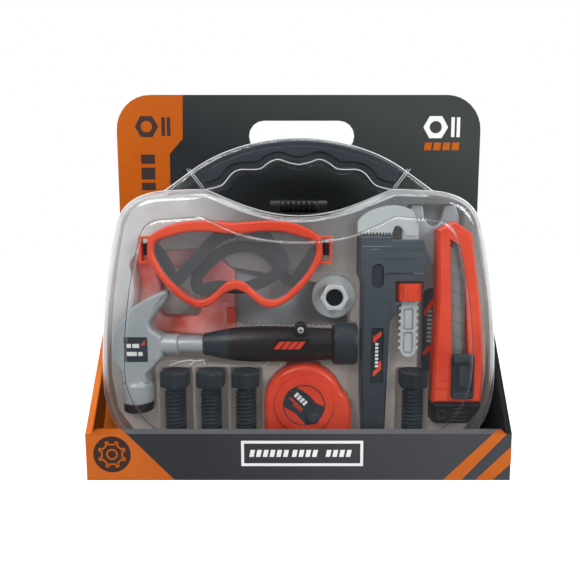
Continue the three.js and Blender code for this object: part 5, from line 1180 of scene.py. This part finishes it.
for name, look, shapes, depth in (
        ("lipBadge", "cardBrown", [[circleLoop(*badge["place"], badge["radius"], 64)]], "raised"),
        ("lipBadgeGear", "cardOrange", [[gear, offsetLoop(gear, -badge["rim"])]], "onRaised"),
        ("lipBadgeRing", "cardOrange", [ring], "onRaised"),
        ("lipFrameWhite", "cardWhite", [frameSides], "thin"),
        ("lipBarsWhite", "cardWhite", lipBars, "thin")):
    printed(name, look, shapes, lipFront, depth)
print("carton ready")

# Label on the hammer's head

headFront = hammer["y"] - hammer["thickness"] / 2
printed("hammerLabel", "label", [[boxLoop(-145.1, -125.5, 91, 112, 0.8)]], headFront, "label", "case")
for name, look, shapes in (
        ("hammerLabelBars", "cardWhite", barRow([(-142.8, -139.2), (-138, -132.4)], 102.9, 106.3)),
        ("hammerLabelLow", "cardWhite", barRow([(-142.8, -134.5), (-133.3, -129.7)], 96.1, 99.5)),
        ("hammerLabelCorner", "orange", [[outline((-131.3, 105.1), (-127.5, 109.3), (-127.5, 105.1))]])):
    printed(name, look, shapes, headFront, "onLabel", "case")


# Floor, backdrop and lights

stage = {"size": 4, "base": (0.8, 0.8, 0.8, 1), "rough": 0.8, "glow": 0.75, "ambient": 0.32,
         "mirrored": (0.05, 1), "floorSpan": (-0.2, 0.1), "skySpan": (-0.5, 0), "white": (1, 1, 1, 1)}


def floorMaterial():
    # White to the camera, with the object's own shadow kept
    material, tree = newTree("floorWhite")
    lit = addNode(tree, "BsdfPrincipled", {"Base Color": stage["base"], "Roughness": stage["rough"]})
    glow = addNode(tree, "Emission", {"Color": stage["white"], "Strength": stage["glow"]})
    both = addNode(tree, "AddShader", {0: lit.outputs[0], 1: glow.outputs[0]})
    depth = addNode(tree, "SeparateXYZ", {0: objectPlace(tree)}).outputs["Y"]
    behind = mapped(tree, depth, stage["floorSpan"], stage["mirrored"])
    mirrored = addNode(tree, "Emission", {"Color": stage["white"], "Strength": behind})
    mix = lit
    for ray, other in (("Is Glossy Ray", mirrored), ("Is Camera Ray", both)):
        kind = addNode(tree, "LightPath").outputs[ray]
        mix = addNode(tree, "MixShader", {0: kind, 1: mix.outputs[0], 2: other.outputs[0]})
    addNode(tree, "OutputMaterial", {"Surface": mix.outputs[0]})
    return material


floorMesh = bmesh.new()
bmesh.ops.create_grid(floorMesh, x_segments=1, y_segments=1, size=stage["size"])
floor = objectOf(floorMesh, "floor")
floor.data.materials.append(floorMaterial())

# The world is white behind the object and dark behind the camera where the clear plastic mirrors it

world = bpy.data.worlds.new("studio")
world.use_nodes = True
scene.world = world
sky = world.node_tree
sky.nodes.clear()
rays = addNode(sky, "LightPath").outputs
way = addNode(sky, "SeparateXYZ", {0: addNode(sky, "TexCoord").outputs["Generated"]}).outputs
behind = mapped(sky, way["Y"], stage["skySpan"], stage["mirrored"])
ambient = addNode(sky, "Mix", {"Factor": rays["Is Glossy Ray"], 2: stage["ambient"], 3: behind}).outputs[0]
strength = addNode(sky, "Mix", {"Factor": rays["Is Camera Ray"], 2: ambient, 3: 1.0}).outputs[0]
background = addNode(sky, "Background", {"Color": stage["white"], "Strength": strength})
addNode(sky, "OutputWorld", {"Surface": background.outputs[0]})

softboxes = [
    {"name": "keyLight", "place": (-0.55, -0.9, 0.95), "aim": 0.15, "size": (0.5, 0.34), "power": 8.5},
    {"name": "fillLight", "place": (0.75, -0.8, 0.6), "aim": 0.15, "size": (0.34, 0.5), "power": 7},
    {"name": "topLight", "place": (0.05, -0.32, 1.15), "aim": 0.1, "size": (0.7, 0.22), "power": 5},
]
for box in softboxes:
    data = bpy.data.lights.new(box["name"], "AREA")
    data.shape = "RECTANGLE"
    data.size, data.size_y = box["size"]
    data.energy = box["power"]
    lamp = bpy.data.objects.new(box["name"], data)
    lamp.location = box["place"]
    lamp.rotation_euler = (Vector((0, 0, box["aim"])) - lamp.location).to_track_quat("-Z", "Y").to_euler()
    scene.collection.objects.link(lamp)
print("stage ready")
